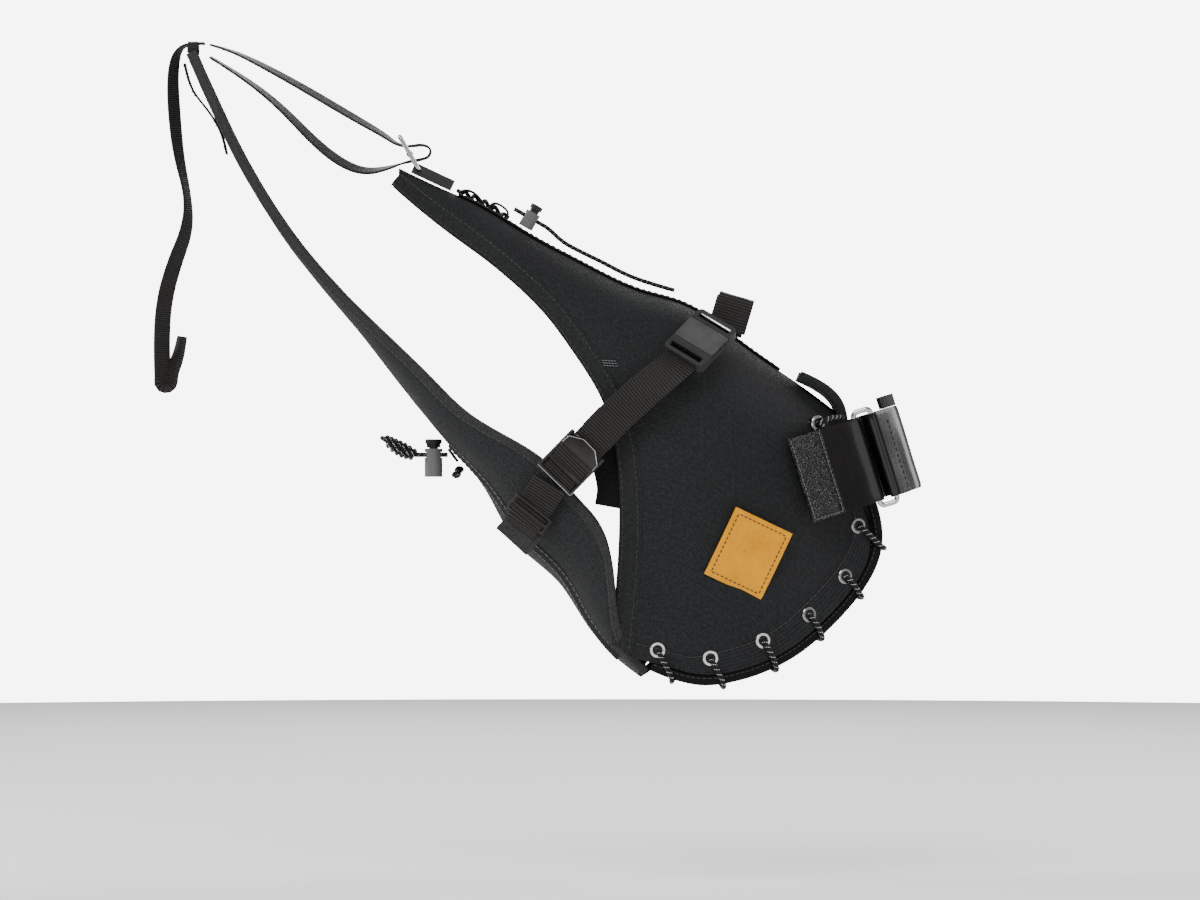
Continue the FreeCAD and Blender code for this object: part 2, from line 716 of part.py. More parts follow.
def tab_wire():
    """Peel-off tab: from inside the ring round its rear bar and back over the base ply."""
    reach = BAR_CLEAR + 0.1
    outer_end = V(BAR_REAR, RING_SIDE - reach, 0)
    bar = V(BAR_REAR, RING_SIDE, 0)
    inner_end = bar + V(math.cos(TAB_START), math.sin(TAB_START), 0) * reach
    middle = bar + V(math.sqrt(0.5), -math.sqrt(0.5), 0) * reach
    ply = [(outer_end.x, outer_end.y), (-22.0, -32.5), (-34.0, -39.5), (-50.5, -49.0)]
    route, _ = rounded_route(post_route(ply))
    return Part.Wire([Part.Arc(inner_end, middle, outer_end).toShape(), *route.Edges])


feature("strap_tab", thick_profile(tab_wire(), PLY_THICK, size("strap_wide")), POST_TURN)
tape = plate("strap_hook_tape", "Sizes.hook_tape_long", "Sizes.strap_wide", "Sizes.hook_tape_thick", 1.0)
tape_along = POST_TURN.multVec(V(-16.5, -9.5, 0))
tape_out = POST_TURN.multVec(V(9.5, -16.5, 0))
tape_at = POST_TURN.multVec(V(-40.9, -45.0, 0))
placed(tape, aligned(tape_at, tape_along, tape_out))

# ---------------------------------------------------------------- rail straps, right side first

LOCK_AT = (-174.5, -63.5, -4.5)
LOCK_ALONG = (0.7, 0.0, 0.714)
BUCKLE_AT = (-103.5, -53.5, 62.5)
BUCKLE_ALONG = (0.62, 0.487, 0.62)
BUCKLE_OUT = (0.0, -0.79, 0.62)
RAIL_AT = (-84.0, -32.0, 83.0)
RAIL_ALONG = (-0.958, 0.0, 0.286)

slot = "Sizes.web_wide + 1"
lock = plate("ladder_lock_right", "Sizes.lock_long", "Sizes.lock_wide", "Sizes.lock_thick", 3.0, (
    ("4.5", slot, "-Sizes.lock_long / 2 + 5", "0", "20", "0"),
    ("5.0", slot, "-Sizes.lock_long / 2 + 13", "0", "20", "0"),
    ("5.0", "Sizes.web_wide - 6", "Sizes.lock_long / 2 - 6", "0", "Sizes.lock_thick", "Sizes.lock_thick / 2"),
))
placed(lock, aligned(LOCK_AT, LOCK_ALONG, (0, -1, 0)))
mirrored(lock, "ladder_lock_left")

web_from = V(*LOCK_AT) + V(*LOCK_ALONG).normalize() * (size("lock_long") / 2.0 + 1.5)
web_to = V(*BUCKLE_AT) - V(*BUCKLE_ALONG).normalize() * (size("buckle_long") / 2.0 + 2.5)


def webbing(label, start, end, outward):
    """Straight run of the wide webbing between two points."""
    run = end - start
    piece = DOC.addObject("Part::Box", label)
    piece.Length = run.Length
    piece.setExpression("Width", "Sizes.web_wide")
    piece.setExpression("Height", "Sizes.web_thick")
    place = aligned(start, run, outward)
    place.Base = place.multVec(V(0, -size("web_wide") / 2.0, -size("web_thick") / 2.0))
    piece.Placement = place
    return keep(label, piece)


rail_web = webbing("rail_webbing_right", web_from, web_to, (0.1, -1, 0.3))
mirrored(rail_web, "rail_webbing_left")

buckle = plate("buckle_frame_right", "Sizes.buckle_long", "Sizes.buckle_wide", "Sizes.buckle_thick", 3.0, (
    ("Sizes.plate_long + 2 * Sizes.plate_room", "Sizes.buckle_wide + 2", "1", "0",
     "2 * (Sizes.plate_thick + Sizes.plate_room)", "Sizes.buckle_thick / 2"),
    ("3.5", slot, "Sizes.buckle_long / 2 - 4", "0", "20", "0"),
    ("3.5", slot, "-Sizes.buckle_long / 2 + 4", "0", "20", "0"),
))
placed(buckle, aligned(BUCKLE_AT, BUCKLE_ALONG, BUCKLE_OUT))
mirrored(buckle, "buckle_frame_left")

release = plate("release_plate_right", "Sizes.plate_long", "Sizes.plate_wide", "Sizes.plate_thick", 1.0)
plate_frame = aligned(BUCKLE_AT, BUCKLE_ALONG, BUCKLE_OUT)
plate_lift = size("buckle_thick") / 2.0 - size("plate_thick") / 2.0
placed(release, FreeCAD.Placement(plate_frame.multVec(V(1.0, 0, plate_lift)), plate_frame.Rotation))
mirrored(release, "release_plate_left")

magnet_lift = -size("buckle_thick") / 2.0 - size("magnet_thick")
magnet = Part.makeCylinder(size("magnet_across") / 2.0, size("magnet_thick"))
magnet.Placement = FreeCAD.Placement(plate_frame.multVec(V(1.0, 0, magnet_lift)), plate_frame.Rotation)
feature("buckle_magnets", both_sides([magnet]))


def rail_loop():
    """Webbing over the saddle rail: a half turn with two legs, local Z up and local X along the rail."""
    inner = size("rail_radius")
    outer = inner + size("web_thick")
    wide = size("rail_loop_wide")
    turn = Part.makeCylinder(outer, wide, V(-wide / 2.0, 0, 0), V(1, 0, 0))
    turn = turn.cut(Part.makeCylinder(inner, wide, V(-wide / 2.0, 0, 0), V(1, 0, 0)))
    turn = turn.common(Part.makeBox(wide, 40.0, 20.0, V(-wide / 2.0, -20.0, 0)))
    leg_out = Part.makeBox(wide, size("web_thick"), 7.0, V(-wide / 2.0, -outer, -7.0))
    leg_in = Part.makeBox(wide, size("web_thick"), 15.0, V(-wide / 2.0, inner, -15.0))
    return turn.fuse([leg_out, leg_in]).removeSplitter()


loop = feature("rail_loop_right", rail_loop(), aligned(RAIL_AT, RAIL_ALONG, (0.286, 0.0, 0.958)))
mirrored(loop, "rail_loop_left")

# Lower end of the rail strap, sewn to the lower panel.
SLIDER_AT = (-197.5, -61.5, -33.0)
SLIDER_ALONG = (0.62, -0.06, 0.78)
slider = plate("web_slider_right", "Sizes.slider_long", "Sizes.slider_wide", "Sizes.slider_thick", 2.0, (
    ("2.2", slot, "2.4", "0", "20", "0"),
    ("2.2", slot, "-2.4", "0", "20", "0"),
))
placed(slider, aligned(SLIDER_AT, SLIDER_ALONG, (0, -1, 0)))
mirrored(slider, "web_slider_left")

lower_from = V(*SLIDER_AT) + V(*SLIDER_ALONG).normalize() * (size("slider_long") / 2.0 + 1.0)
lower_to = V(*LOCK_AT) - V(*LOCK_ALONG).normalize() * (size("lock_long") / 2.0 + 3.0)
lower_web = webbing("lower_webbing_right", lower_from, lower_to, (0, -1, 0))
mirrored(lower_web, "lower_webbing_left")

anchor_to = V(*SLIDER_AT) - V(*SLIDER_ALONG).normalize() * (size("slider_long") / 2.0 + 1.5)


def strap_block(start, end, outward):
    """Straight run of the wide webbing, as a plain shape."""
    run = end - start
    block = Part.makeBox(run.Length, size("web_wide"), size("web_thick"))
    place = aligned(start, run, outward)
    place.Base = place.multVec(V(0, -size("web_wide") / 2.0, -size("web_thick") / 2.0))
    block.Placement = place
    return block


feature("sewn_anchors", both_sides([strap_block(V(-207.0, -54.5, -47.0), anchor_to, (0, -1, 0))]))

# ---------------------------------------------------------------- lower panel

for layer, near, far in (("fabric", 0.0, OUTER), ("stiffener", STIFF_FROM, STIFF_TO), ("lining", LINING_FROM, LINING_TO)):
    feature(f"lower_panel_{layer}", channel_layer(near, far))

LIGHT_ROUTE = ((-391.8, 218.8), (-386.8, 203.4), (-380.6, 195.0), (-371.0, 179.0), (-368.2, 168.2))
feature("light_loops", strap_solid("light_loops", side_route(LIGHT_ROUTE), size("narrow_wide"), 1.2))

TAIL_LOOP = ((-387.0, -8.0, 226.5), (-387.0, -8.0, 233.5), (-387.0, 8.0, 233.5), (-387.0, 8.0, 226.5))
feature("tail_loop", strap_solid("tail_loop", TAIL_LOOP, 6.0, 1.2, (1, 0, 0)))

# ---------------------------------------------------------------- tongue tip

KEEPER_AT = V(-252.5, 0.0, 155.5)
KEEPER_ALONG = V(0.906, 0.0, -0.423)
KEEPER_UP = V(0.423, 0.0, 0.906)
RING_ALONG = V(-0.5, 0.0, 0.866)
RING_PIVOT = KEEPER_AT - KEEPER_ALONG * 8.5

keeper_block = DOC.addObject("Part::Box", "keeper_block")
keeper_block.setExpression("Length", "Sizes.keeper_long")
keeper_block.setExpression("Width", "Sizes.keeper_wide")
keeper_block.setExpression("Height", "Sizes.keeper_thick")
keeper_frame = aligned(KEEPER_AT, KEEPER_ALONG, KEEPER_UP)
keeper_corner = V(-size("keeper_long") / 2.0, -size("keeper_wide") / 2.0, -size("keeper_thick") / 2.0)
keeper_block.Placement = FreeCAD.Placement(keeper_frame.multVec(keeper_corner), keeper_frame.Rotation)
keeper_bore = DOC.addObject("Part::Cylinder", "keeper_bore")
keeper_bore.setExpression("Radius", "Sizes.tongue_ring_wire / 2 + 0.08")
keeper_bore.setExpression("Height", "Sizes.keeper_wide + 4")
keeper_bore.Placement = aligned(RING_PIVOT - V(0, size("keeper_wide") / 2.0 + 2.0, 0), (1, 0, 0), (0, 1, 0))
keeper = DOC.addObject("Part::Cut", "tongue_keeper")
keeper.Base = keeper_block
keeper.Tool = keeper_bore
keep("tongue_keeper", keeper)

ring_centre = RING_PIVOT + RING_ALONG * (size("tongue_ring_long") - size("tongue_ring_wire")) * 0.5
tongue_ring = wire_loop("tongue_ring", "tongue_ring_long", "tongue_ring_wide", "tongue_ring_wire", 2.0)
placed(tongue_ring, aligned(ring_centre, RING_ALONG, (0.866, 0.0, 0.5)))
roller = DOC.addObject("Part::Cylinder", "tongue_roller")
roller.Radius = 1.8
roller.setExpression("Height", "Sizes.tongue_ring_wide - 2 * Sizes.tongue_ring_wire - 0.2")
roller_half = (size("tongue_ring_wide") - 2.0 * size("tongue_ring_wire") - 0.2) / 2.0
roller.Placement = aligned(ring_centre - V(0, roller_half, 0), (1, 0, 0), (0, 1, 0))
keep("tongue_roller", roller)

# ---------------------------------------------------------------- closure strap

# Sewn to the tail, forward to the tongue's ring, round its roller and back to the tail.
CLOSURE_RUNS = ((-377.5, 222.6), (-362.0, 213.5), (-340.0, 197.0), (-318.0, 174.0), (-303.0, 162.5),
                (-290.0, 158.0), (-277.0, 160.5), (-268.0, 163.6), (-260.5, 164.8), (-254.5, 166.5),
                (-253.5, 171.5), (-258.5, 174.0), (-265.0, 173.3), (-271.5, 173.6), (-281.0, 180.0),
                (-300.0, 190.5), (-327.0, 206.5), (-350.0, 219.0), (-366.0, 226.5), (-377.5, 229.6))
# Through the tail loop and down, hanging free.
CLOSURE_TAIL = ((-380.5, 230.2), (-390.0, 230.6), (-396.3, 225.5), (-398.6, 213.0), (-398.0, 194.0),
                (-395.5, 168.0), (-389.8, 144.0), (-390.2, 126.0), (-398.0, 106.0), (-403.5, 86.0),
                (-405.0, 62.0), (-404.2, 41.5))
narrow = (size("narrow_wide"), size("narrow_thick"))
feature("closure_strap_runs", strap_solid("closure_strap_runs", side_route(CLOSURE_RUNS), *narrow))
feature("closure_strap_tail", strap_solid("closure_strap_tail", side_route(CLOSURE_TAIL), *narrow))
end_from = V(-402.6, 0.0, 39.8)
end_to = V(-393.0, 0.0, 67.5)
fold = DOC.addObject("Part::Box", "closure_strap_end")
fold.Length = (end_to - end_from).Length
fold.setExpression("Width", "Sizes.narrow_wide")
fold.setExpression("Height", "2 * Sizes.narrow_thick")
fold_frame = aligned(end_from, end_to - end_from, (1, 0, 0))
fold_corner = V(0, -size("narrow_wide") / 2.0, -size("narrow_thick"))
fold.Placement = FreeCAD.Placement(fold_frame.multVec(fold_corner), fold_frame.Rotation)
keep("closure_strap_end", fold)

# ---------------------------------------------------------------- cord locks and elastic cords


def cord_lock(prefix, place, barrel_radius, shaft_radius, cord_half_high, cord_half_wide, travel, foot):
    """Sprung cord lock: local Z up the plunger, local X along the cord, origin on the cord.

    The foot is the solid end of the barrel below its spring.
    """
    leg = cord_half_high + 0.5
    spring_long = 1.5
    floor = -(leg + travel + 0.1 + spring_long)
    bottom = floor - foot
    top = cord_half_high + 2.2
    barrel = Part.makeCylinder(barrel_radius, top - bottom, V(0, 0, bottom))
    bore = Part.makeCylinder(shaft_radius + 0.06, top - floor, V(0, 0, floor))
    passage = Part.makeBox(4.0 * barrel_radius, 2.0 * cord_half_wide + 0.5, 2.0 * cord_half_high + 0.5,
                           V(-2.0 * barrel_radius, -cord_half_wide - 0.25, -cord_half_high - 0.25))
    feature(f"{prefix}_barrel", barrel.cut(bore).cut(passage), place)
    shaft_top = top + travel + 0.2
    shaft = Part.makeCylinder(shaft_radius, shaft_top + leg, V(0, 0, -leg))
    fork = Part.makeBox(4.0 * barrel_radius, 2.0 * cord_half_wide + 0.5, leg + cord_half_high + travel + 0.3,
                        V(-2.0 * barrel_radius, -cord_half_wide - 0.25, -leg))
    head = Part.makeCylinder(shaft_radius + 0.8, size("plunger_head"), V(0, 0, shaft_top))
    head = head.makeFillet(0.6, [edge for edge in head.Edges if edge.BoundBox.ZMin > shaft_top + 1.0])
    feature(f"{prefix}_plunger", shaft.cut(fork).fuse(head).removeSplitter(), place)
    wire = size("spring_wire")
    turns = []
    for turn in range(2):
        height = floor + wire * 0.6 + turn * wire * 1.25
        turns.append(Part.makeTorus(shaft_radius - wire, wire / 2.0, V(0, 0, height)))
    feature(f"{prefix}_spring", Part.makeCompound(turns), place)


TOP_CORD = 2.5
TOP_LOCK_AT = V(-197.8, 0.0, 132.3)
TOP_LOCK_ALONG = V(0.868, 0.0, -0.496)
TOP_LOCK_UP = V(0.496, 0.0, 0.868)
cord_lock("top_lock", aligned(TOP_LOCK_AT, TOP_LOCK_ALONG, TOP_LOCK_UP), 4.2, 2.7, 1.25, 1.25, 1.8, 0.8)
TOP_BUNGEE = ((-206.9, 137.5), (-189.1, 127.3), (-180.0, 119.0), (-170.0, 113.6), (-157.0, 107.4),
              (-144.0, 100.4), (-130.0, 95.4), (-117.0, 91.8))
feature("top_bungee", cord_solid("top_bungee", side_route(TOP_BUNGEE), TOP_CORD))
BUNGEE_ARCH = ((-221.0, 140.0), (-219.4, 144.4), (-213.0, 143.8), (-210.4, 139.6), (-212.4, 134.4))
feature("bungee_loop", strap_solid("bungee_loop", side_route(BUNGEE_ARCH), 8.0, 1.2))

LOWER_CORD = 2.6
LOWER_LOCK_AT = V(-252.2, 0.0, -0.5)
cord_lock("lower_lock", aligned(LOWER_LOCK_AT, (-1, 0, 0), (0, 0, 1)), 5.0, 3.9, 1.3, 2.75, 2.5, 6.5)
STRAND = LOWER_CORD / 2.0 + 0.12
LOWER_BUNGEE = ((-244.2, -STRAND, -0.5), (-263.0, -STRAND, -0.5), (-270.0, -3.2, 2.5), (-276.0, -4.2, 5.8),
                (-281.0, -3.4, 9.0), (-281.0, 3.4, 9.0), (-276.0, 4.2, 5.8), (-270.0, 3.2, 2.5),
                (-263.0, STRAND, -0.5), (-244.2, STRAND, -0.5))
feature("lower_bungee", cord_solid("lower_bungee", LOWER_BUNGEE, LOWER_CORD))
tab = plate("lower_bungee_tab", "9", "10", "1.6", 1.5)
placed(tab, aligned((-241.2, 0.0, -0.8), (0.6, 0.0, -0.8), (-0.8, 0.0, -0.6)))
knot = DOC.addObject("Part::Torus", "lower_bungee_knot")
knot.Radius1 = 2.6
knot.Radius2 = 1.9
knot.Placement = aligned((-238.6, 0.0, -10.2), (0, 0, 1), (-0.85, 0.0, -0.5))
keep("lower_bungee_knot", knot)

# ---------------------------------------------------------------- checks and files

DOC.recompute()


def check_and_write():
    """Refuse a failed object, then write each node's solid."""
    os.makedirs("parts", exist_ok=True)
    for thing in DOC.Objects:
        if "Invalid" in thing.State or "Error" in thing.State:
            raise RuntimeError(f"{thing.Label} failed: {thing.State}")
    for label, thing in NODES.items():
        shape = thing.Shape
        if shape.isNull() or not shape.isValid() or not shape.Solids:
            raise RuntimeError(f"{label} has no valid solid")
        if any(solid.Volume <= 0.0 for solid in shape.Solids):
            raise RuntimeError(f"{label} has a solid with no volume")
        shape.exportStep(os.path.join("parts", f"{label}.step"))
    for line in CORD_REPORT:
        print(line)
    print(len(NODES), "nodes written")


check_and_write()
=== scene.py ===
import math
import random

import bmesh
import bpy
import numpy as np
from mathutils import Matrix, Vector, noise


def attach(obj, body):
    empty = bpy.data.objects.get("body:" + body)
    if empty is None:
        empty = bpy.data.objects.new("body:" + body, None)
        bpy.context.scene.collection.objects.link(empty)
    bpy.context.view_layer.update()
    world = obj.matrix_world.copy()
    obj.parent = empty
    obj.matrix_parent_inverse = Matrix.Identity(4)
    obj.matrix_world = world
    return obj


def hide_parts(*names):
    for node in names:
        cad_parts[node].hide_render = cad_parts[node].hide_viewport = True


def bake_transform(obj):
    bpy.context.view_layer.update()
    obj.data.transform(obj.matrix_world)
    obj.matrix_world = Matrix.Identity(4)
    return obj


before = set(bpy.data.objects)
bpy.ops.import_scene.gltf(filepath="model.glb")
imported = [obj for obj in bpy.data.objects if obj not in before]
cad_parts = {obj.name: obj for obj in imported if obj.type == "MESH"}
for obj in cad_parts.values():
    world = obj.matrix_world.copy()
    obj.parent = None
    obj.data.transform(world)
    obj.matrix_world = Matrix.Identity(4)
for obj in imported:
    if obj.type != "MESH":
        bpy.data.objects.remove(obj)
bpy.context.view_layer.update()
random.seed(11)
SCENE = bpy.context.scene


def mm(*values):
    """A point given in millimetres, in metres."""
    return Vector([value * 0.001 for value in values])


def side(points, y=0.0):
    """Side-view points x, z in millimetres, as points in metres."""
    return [mm(x, y, z) for x, z in points]


# ---------------------------------------------------------------- camera, lights and floor

camera_data = bpy.data.cameras.new("camera")
camera_data.lens = 160.4
camera_data.sensor_width = 36.0
camera_data.clip_end = 60.0
camera = bpy.data.objects.new("camera", camera_data)
camera.location = (-0.1588, -3.0, 0.0022)
camera.rotation_euler = (math.radians(90.0), 0.0, 0.0)
SCENE.collection.objects.link(camera)
SCENE.camera = camera


def area_light(name, place, target, wide, tall, power, colour=(1.0, 1.0, 1.0)):
    data = bpy.data.lights.new(name, "AREA")
    data.shape = "RECTANGLE"
    data.size = wide
    data.size_y = tall
    data.energy = power
    data.color = colour
    light = bpy.data.objects.new(name, data)
    light.location = place
    aim = Vector(target) - Vector(place)
    light.rotation_euler = aim.to_track_quat("-Z", "Y").to_euler()
    SCENE.collection.objects.link(light)


area_light("key", (-0.7, -1.5, 1.5), (-0.15, 0.0, 0.0), 1.2, 1.2, 34.0)
area_light("fill", (0.9, -1.8, 0.2), (-0.15, 0.0, 0.0), 1.0, 1.4, 8.0)
area_light("rim_left", (-1.6, 0.2, 0.7), (-0.2, 0.0, 0.0), 0.7, 1.4, 26.0)
area_light("rim_right", (1.3, 0.5, 0.6), (-0.1, 0.0, 0.0), 0.7, 1.4, 24.0)
area_light("back", (-0.2, 1.9, 1.1), (-0.15, 0.0, 0.0), 1.6, 1.0, 26.0)
area_light("low", (-0.3, -0.9, -0.15), (-0.15, 0.0, -0.05), 1.0, 0.3, 1.0)

world = bpy.data.worlds.new("studio")
world.use_nodes = True
world_nodes = world.node_tree.nodes
world_nodes["Background"].inputs[0].default_value = (1.0, 1.0, 1.0, 1.0)
world_rays = world_nodes.new("ShaderNodeLightPath")
world_level = world_nodes.new("ShaderNodeMapRange")
world_level.inputs["To Min"].default_value = 0.38
world_level.inputs["To Max"].default_value = 7.0
world.node_tree.links.new(world_rays.outputs["Is Camera Ray"], world_level.inputs[0])
world.node_tree.links.new(world_level.outputs[0], world_nodes["Background"].inputs[1])
SCENE.world = world

# ---------------------------------------------------------------- materials


class Surface:
    """A principled material with its nodes close at hand."""

    def __init__(self, name, rough=0.6, metallic=0.0, coat=0.0, coat_rough=0.2, sheen=0.0, specular=0.5):
        self.material = bpy.data.materials.new(name)
        self.material.use_nodes = True
        self.nodes = self.material.node_tree.nodes
        self.links = self.material.node_tree.links
        self.shader = self.nodes["Principled BSDF"]
        self.shader.inputs["Roughness"].default_value = rough
        self.shader.inputs["Metallic"].default_value = metallic
        self.shader.inputs["Coat Weight"].default_value = coat
        self.shader.inputs["Coat Roughness"].default_value = coat_rough
        self.shader.inputs["Sheen Weight"].default_value = sheen
        self.shader.inputs["Sheen Roughness"].default_value = 0.45
        self.shader.inputs["Specular IOR Level"].default_value = specular

    def node(self, kind, **values):
        made = self.nodes.new(kind)
        for key, value in values.items():
            setattr(made, key, value)
        return made

    def join(self, output, node_input):
        self.links.new(output, node_input)

    def number(self, operation, first, second=None, third=None, clamp=False):
        """One arithmetic step; each argument is a number or an output."""
        made = self.node("ShaderNodeMath", operation=operation, use_clamp=clamp)
        for place, value in enumerate((first, second, third)):
            if value is None:
                continue
            if isinstance(value, (int, float)):
                made.inputs[place].default_value = value
            else:
                self.join(value, made.inputs[place])
        return made.outputs[0]

    def place(self, kind="Object"):
        """Position on the piece in metres: object space, or along and across it with UV."""
        made = self.node("ShaderNodeTexCoord")
        split = self.node("ShaderNodeSeparateXYZ")
        self.join(made.outputs[kind], split.inputs[0])
        return made.outputs[kind], split.outputs

    def noise(self, vector, scale, detail=3.0, rough=0.55):
        made = self.node("ShaderNodeTexNoise")
        made.inputs["Scale"].default_value = scale
        made.inputs["Detail"].default_value = detail
        made.inputs["Roughness"].default_value = rough
        self.join(vector, made.inputs["Vector"])
        return made.outputs["Fac"]

    def wave(self, value, pitch, shift=0.0):
        """0 to 1 ripple along a coordinate in metres."""
        turned = self.number("MULTIPLY_ADD", value, 2.0 * math.pi / pitch, shift)
        return self.number("MULTIPLY_ADD", self.number("SINE", turned), 0.5, 0.5)

    def blend(self, factor, dark, light):
        made = self.node("ShaderNodeMix", data_type="RGBA")
        self.join(factor, made.inputs[0])
        for slot_index, value in ((6, dark), (7, light)):
            if isinstance(value, tuple):
                made.inputs[slot_index].default_value = (*value, 1.0)
            else:
                self.join(value, made.inputs[slot_index])
        return made.outputs[2]

    def colour(self, output):
        self.join(output, self.shader.inputs["Base Color"])

    def span(self, value, low, high, begin=0.0, end=1.0):
        """Maps begin to end onto low to high."""
        made = self.node("ShaderNodeMapRange")
        self.join(value, made.inputs[0])
        made.inputs["From Min"].default_value = begin
        made.inputs["From Max"].default_value = end
        made.inputs["To Min"].default_value = low
        made.inputs["To Max"].default_value = high
        return made.outputs[0]

    def roughness(self, value, low, high):
        self.join(self.span(value, low, high), self.shader.inputs["Roughness"])

    def bump(self, height, depth, strength=1.0):
        made = self.node("ShaderNodeBump")
        made.inputs["Strength"].default_value = strength
        made.inputs["Distance"].default_value = depth
        self.join(height, made.inputs["Height"])
        before = self.shader.inputs["Normal"]
        if before.is_linked:
            self.join(before.links[0].from_socket, made.inputs["Normal"])
        self.join(made.outputs[0], self.shader.inputs["Normal"])


def woven(name, dark, light, rib, pitch, depth=0.00012, sheen=0.15, wear=0.0):
    """Ribbed cloth: ribs across the piece crossed by threads along it, with faint patches and lint."""
    made = Surface(name, sheen=sheen, specular=0.07)
    vector, axes = made.place("UV")
    ribs = made.wave(axes[1], rib)
    threads = made.wave(axes[0], pitch)
    wobble = made.noise(vector, 900.0, 2.0)
    height = made.number("MULTIPLY_ADD", threads, 0.35, made.number("MULTIPLY", ribs, 0.65))
    height = made.number("MULTIPLY_ADD", wobble, 0.35, height)
    patches = made.noise(vector, 28.0, 4.0)
    mottle = made.span(made.noise(vector, 520.0, 2.0, 0.7), 0.0, 1.0, 0.38, 0.68)
    tone = made.number("MULTIPLY_ADD", patches, 0.25, made.number("MULTIPLY", height, 0.45))
    tone = made.number("MULTIPLY_ADD", mottle, 0.35, tone, clamp=True)
    base = made.blend(tone, dark, light)
    if wear:
        lint = made.noise(vector, 2600.0, 1.0)
        flecks = made.number("GREATER_THAN", lint, 0.71)
        pale = tuple(min(1.0, level * 5.0) for level in light)
        base = made.blend(made.number("MULTIPLY", flecks, wear), base, pale)
    made.colour(base)
    made.roughness(patches, 0.55, 0.8)
    made.bump(height, depth)
    return made.material


def ribbed(name, dark, light, pitch, sheen=0.1):
    """Webbing: ribs across the strap with fine threads over them."""
    made = Surface(name, sheen=sheen, specular=0.14)
    vector, axes = made.place("UV")
    ribs = made.wave(axes[0], pitch)
    threads = made.wave(axes[1], 0.0009)
    shade = made.number("POWER", ribs, 3.2)
    height = made.number("MULTIPLY_ADD", threads, 0.18, made.number("MULTIPLY", shade, 0.82))
    grain = made.noise(vector, 1400.0, 2.0)
    patches = made.noise(vector, 55.0, 3.0)
    tone = made.number("MULTIPLY_ADD", patches, 0.1, made.number("MULTIPLY", height, 0.8), clamp=True)
    made.colour(made.blend(tone, dark, light))
    made.roughness(grain, 0.42, 0.6)
    made.bump(height, pitch * 0.22)
    return made.material


def coated(name):
    """Smooth coated strap: a soft brown-black sheen over a faint grain, scuffed here and there."""
    made = Surface(name, coat=0.22, coat_rough=0.08, specular=0.22)
    vector, _ = made.place("Object")
    grain = made.noise(vector, 1700.0, 2.0)
    patches = made.noise(vector, 45.0, 5.0, 0.65)
    made.colour(made.blend(patches, (0.0015, 0.0013, 0.0012), (0.008, 0.0066, 0.006)))
    made.roughness(patches, 0.18, 0.34)
    made.bump(grain, 0.00005, 0.6)
    made.bump(patches, 0.0006, 0.25)
    return made.material


def plastic(name, base=(0.006, 0.006, 0.0065), rough=(0.3, 0.5)):
    """Moulded plastic with a fine grain and edges painted paler as a highlight."""
    made = Surface(name, coat=0.08, specular=0.22)
    vector, _ = made.place("Object")
    grain = made.noise(vector, 2400.0, 2.0)
    patches = made.noise(vector, 120.0, 4.0)
    # Convex edges are painted paler, as a highlight along them.
    edges = made.node("ShaderNodeNewGeometry").outputs["Pointiness"]
    painted_edge_shine = made.span(edges, 0.0, 1.0, 0.52, 0.62)
    tone = made.number("MULTIPLY_ADD", painted_edge_shine, 0.7, made.number("MULTIPLY", patches, 0.3), clamp=True)
    made.colour(made.blend(tone, base, tuple(c * 3.2 + 0.01 for c in base)))
    made.roughness(patches, *rough)
    made.bump(grain, 0.00004, 0.5)
    return made.material


def metal(name, dark, light, rough, brushed=0.0, metallic=1.0):
    """Plated or anodised metal with fine scratches."""
    made = Surface(name, metallic=metallic, specular=0.5)
    vector, _ = made.place("Object")
    patches = made.noise(vector, 90.0, 5.0)
    stretched = made.node("ShaderNodeMapping")
    stretched.inputs["Scale"].default_value = (60.0, 60.0, 2600.0)
    made.join(vector, stretched.inputs["Vector"])
    scratches = made.noise(stretched.outputs[0], 1.0, 3.0)
    made.colour(made.blend(patches, dark, light))
    worn = made.number("MULTIPLY_ADD", scratches, 0.5, made.number("MULTIPLY", patches, 0.5))
    made.roughness(worn, *rough)
    made.bump(scratches, 0.00003, brushed)
    return made.material


def braid(name, fleck):
    """Braided elastic cord with pale flecks in its diamond weave."""
    made = Surface(name, sheen=0.02, specular=0.12)
    vector, axes = made.place("UV")
    first = made.wave(made.number("ADD", axes[0], axes[1]), 0.0013)
    second = made.wave(made.number("SUBTRACT", axes[0], axes[1]), 0.0013)
    height = made.number("MAXIMUM", first, second)
    grain = made.noise(vector, 1500.0, 2.0)
    base = made.blend(made.number("MULTIPLY", height, grain), (0.002, 0.002, 0.0023), (0.026, 0.026, 0.028))
    slow = made.wave(made.number("MULTIPLY_ADD", axes[1], 0.55, axes[0]), 0.0031)
    slim = made.number("GREATER_THAN", slow, 0.95)
    picked = made.number("GREATER_THAN", second, 0.45)
    mask = made.number("MULTIPLY", made.number("MULTIPLY", slim, picked), fleck)
    made.colour(made.blend(mask, base, (0.75, 0.75, 0.72)))
    made.roughness(grain, 0.5, 0.75)
    made.bump(height, 0.0003)
    return made.material


def leather(name):
    """Tan hide with a fine grain and cloudy tone."""
    made = Surface(name, coat=0.02, specular=0.15)
    vector, _ = made.place("Object")
    cells = made.node("ShaderNodeTexVoronoi")
    cells.inputs["Scale"].default_value = 1500.0
    made.join(vector, cells.inputs["Vector"])
    patches = made.noise(vector, 70.0, 5.0, 0.6)
    fine = made.noise(vector, 700.0, 3.0)
    tone = made.number("MULTIPLY_ADD", fine, 0.35, made.number("MULTIPLY", patches, 0.65))
    made.colour(made.blend(tone, (0.38, 0.12, 0.001), (0.95, 0.42, 0.002)))
    made.roughness(fine, 0.42, 0.62)
    made.bump(cells.outputs["Distance"], 0.00012, 0.7)
    made.bump(patches, 0.0004, 0.3)
    return made.material


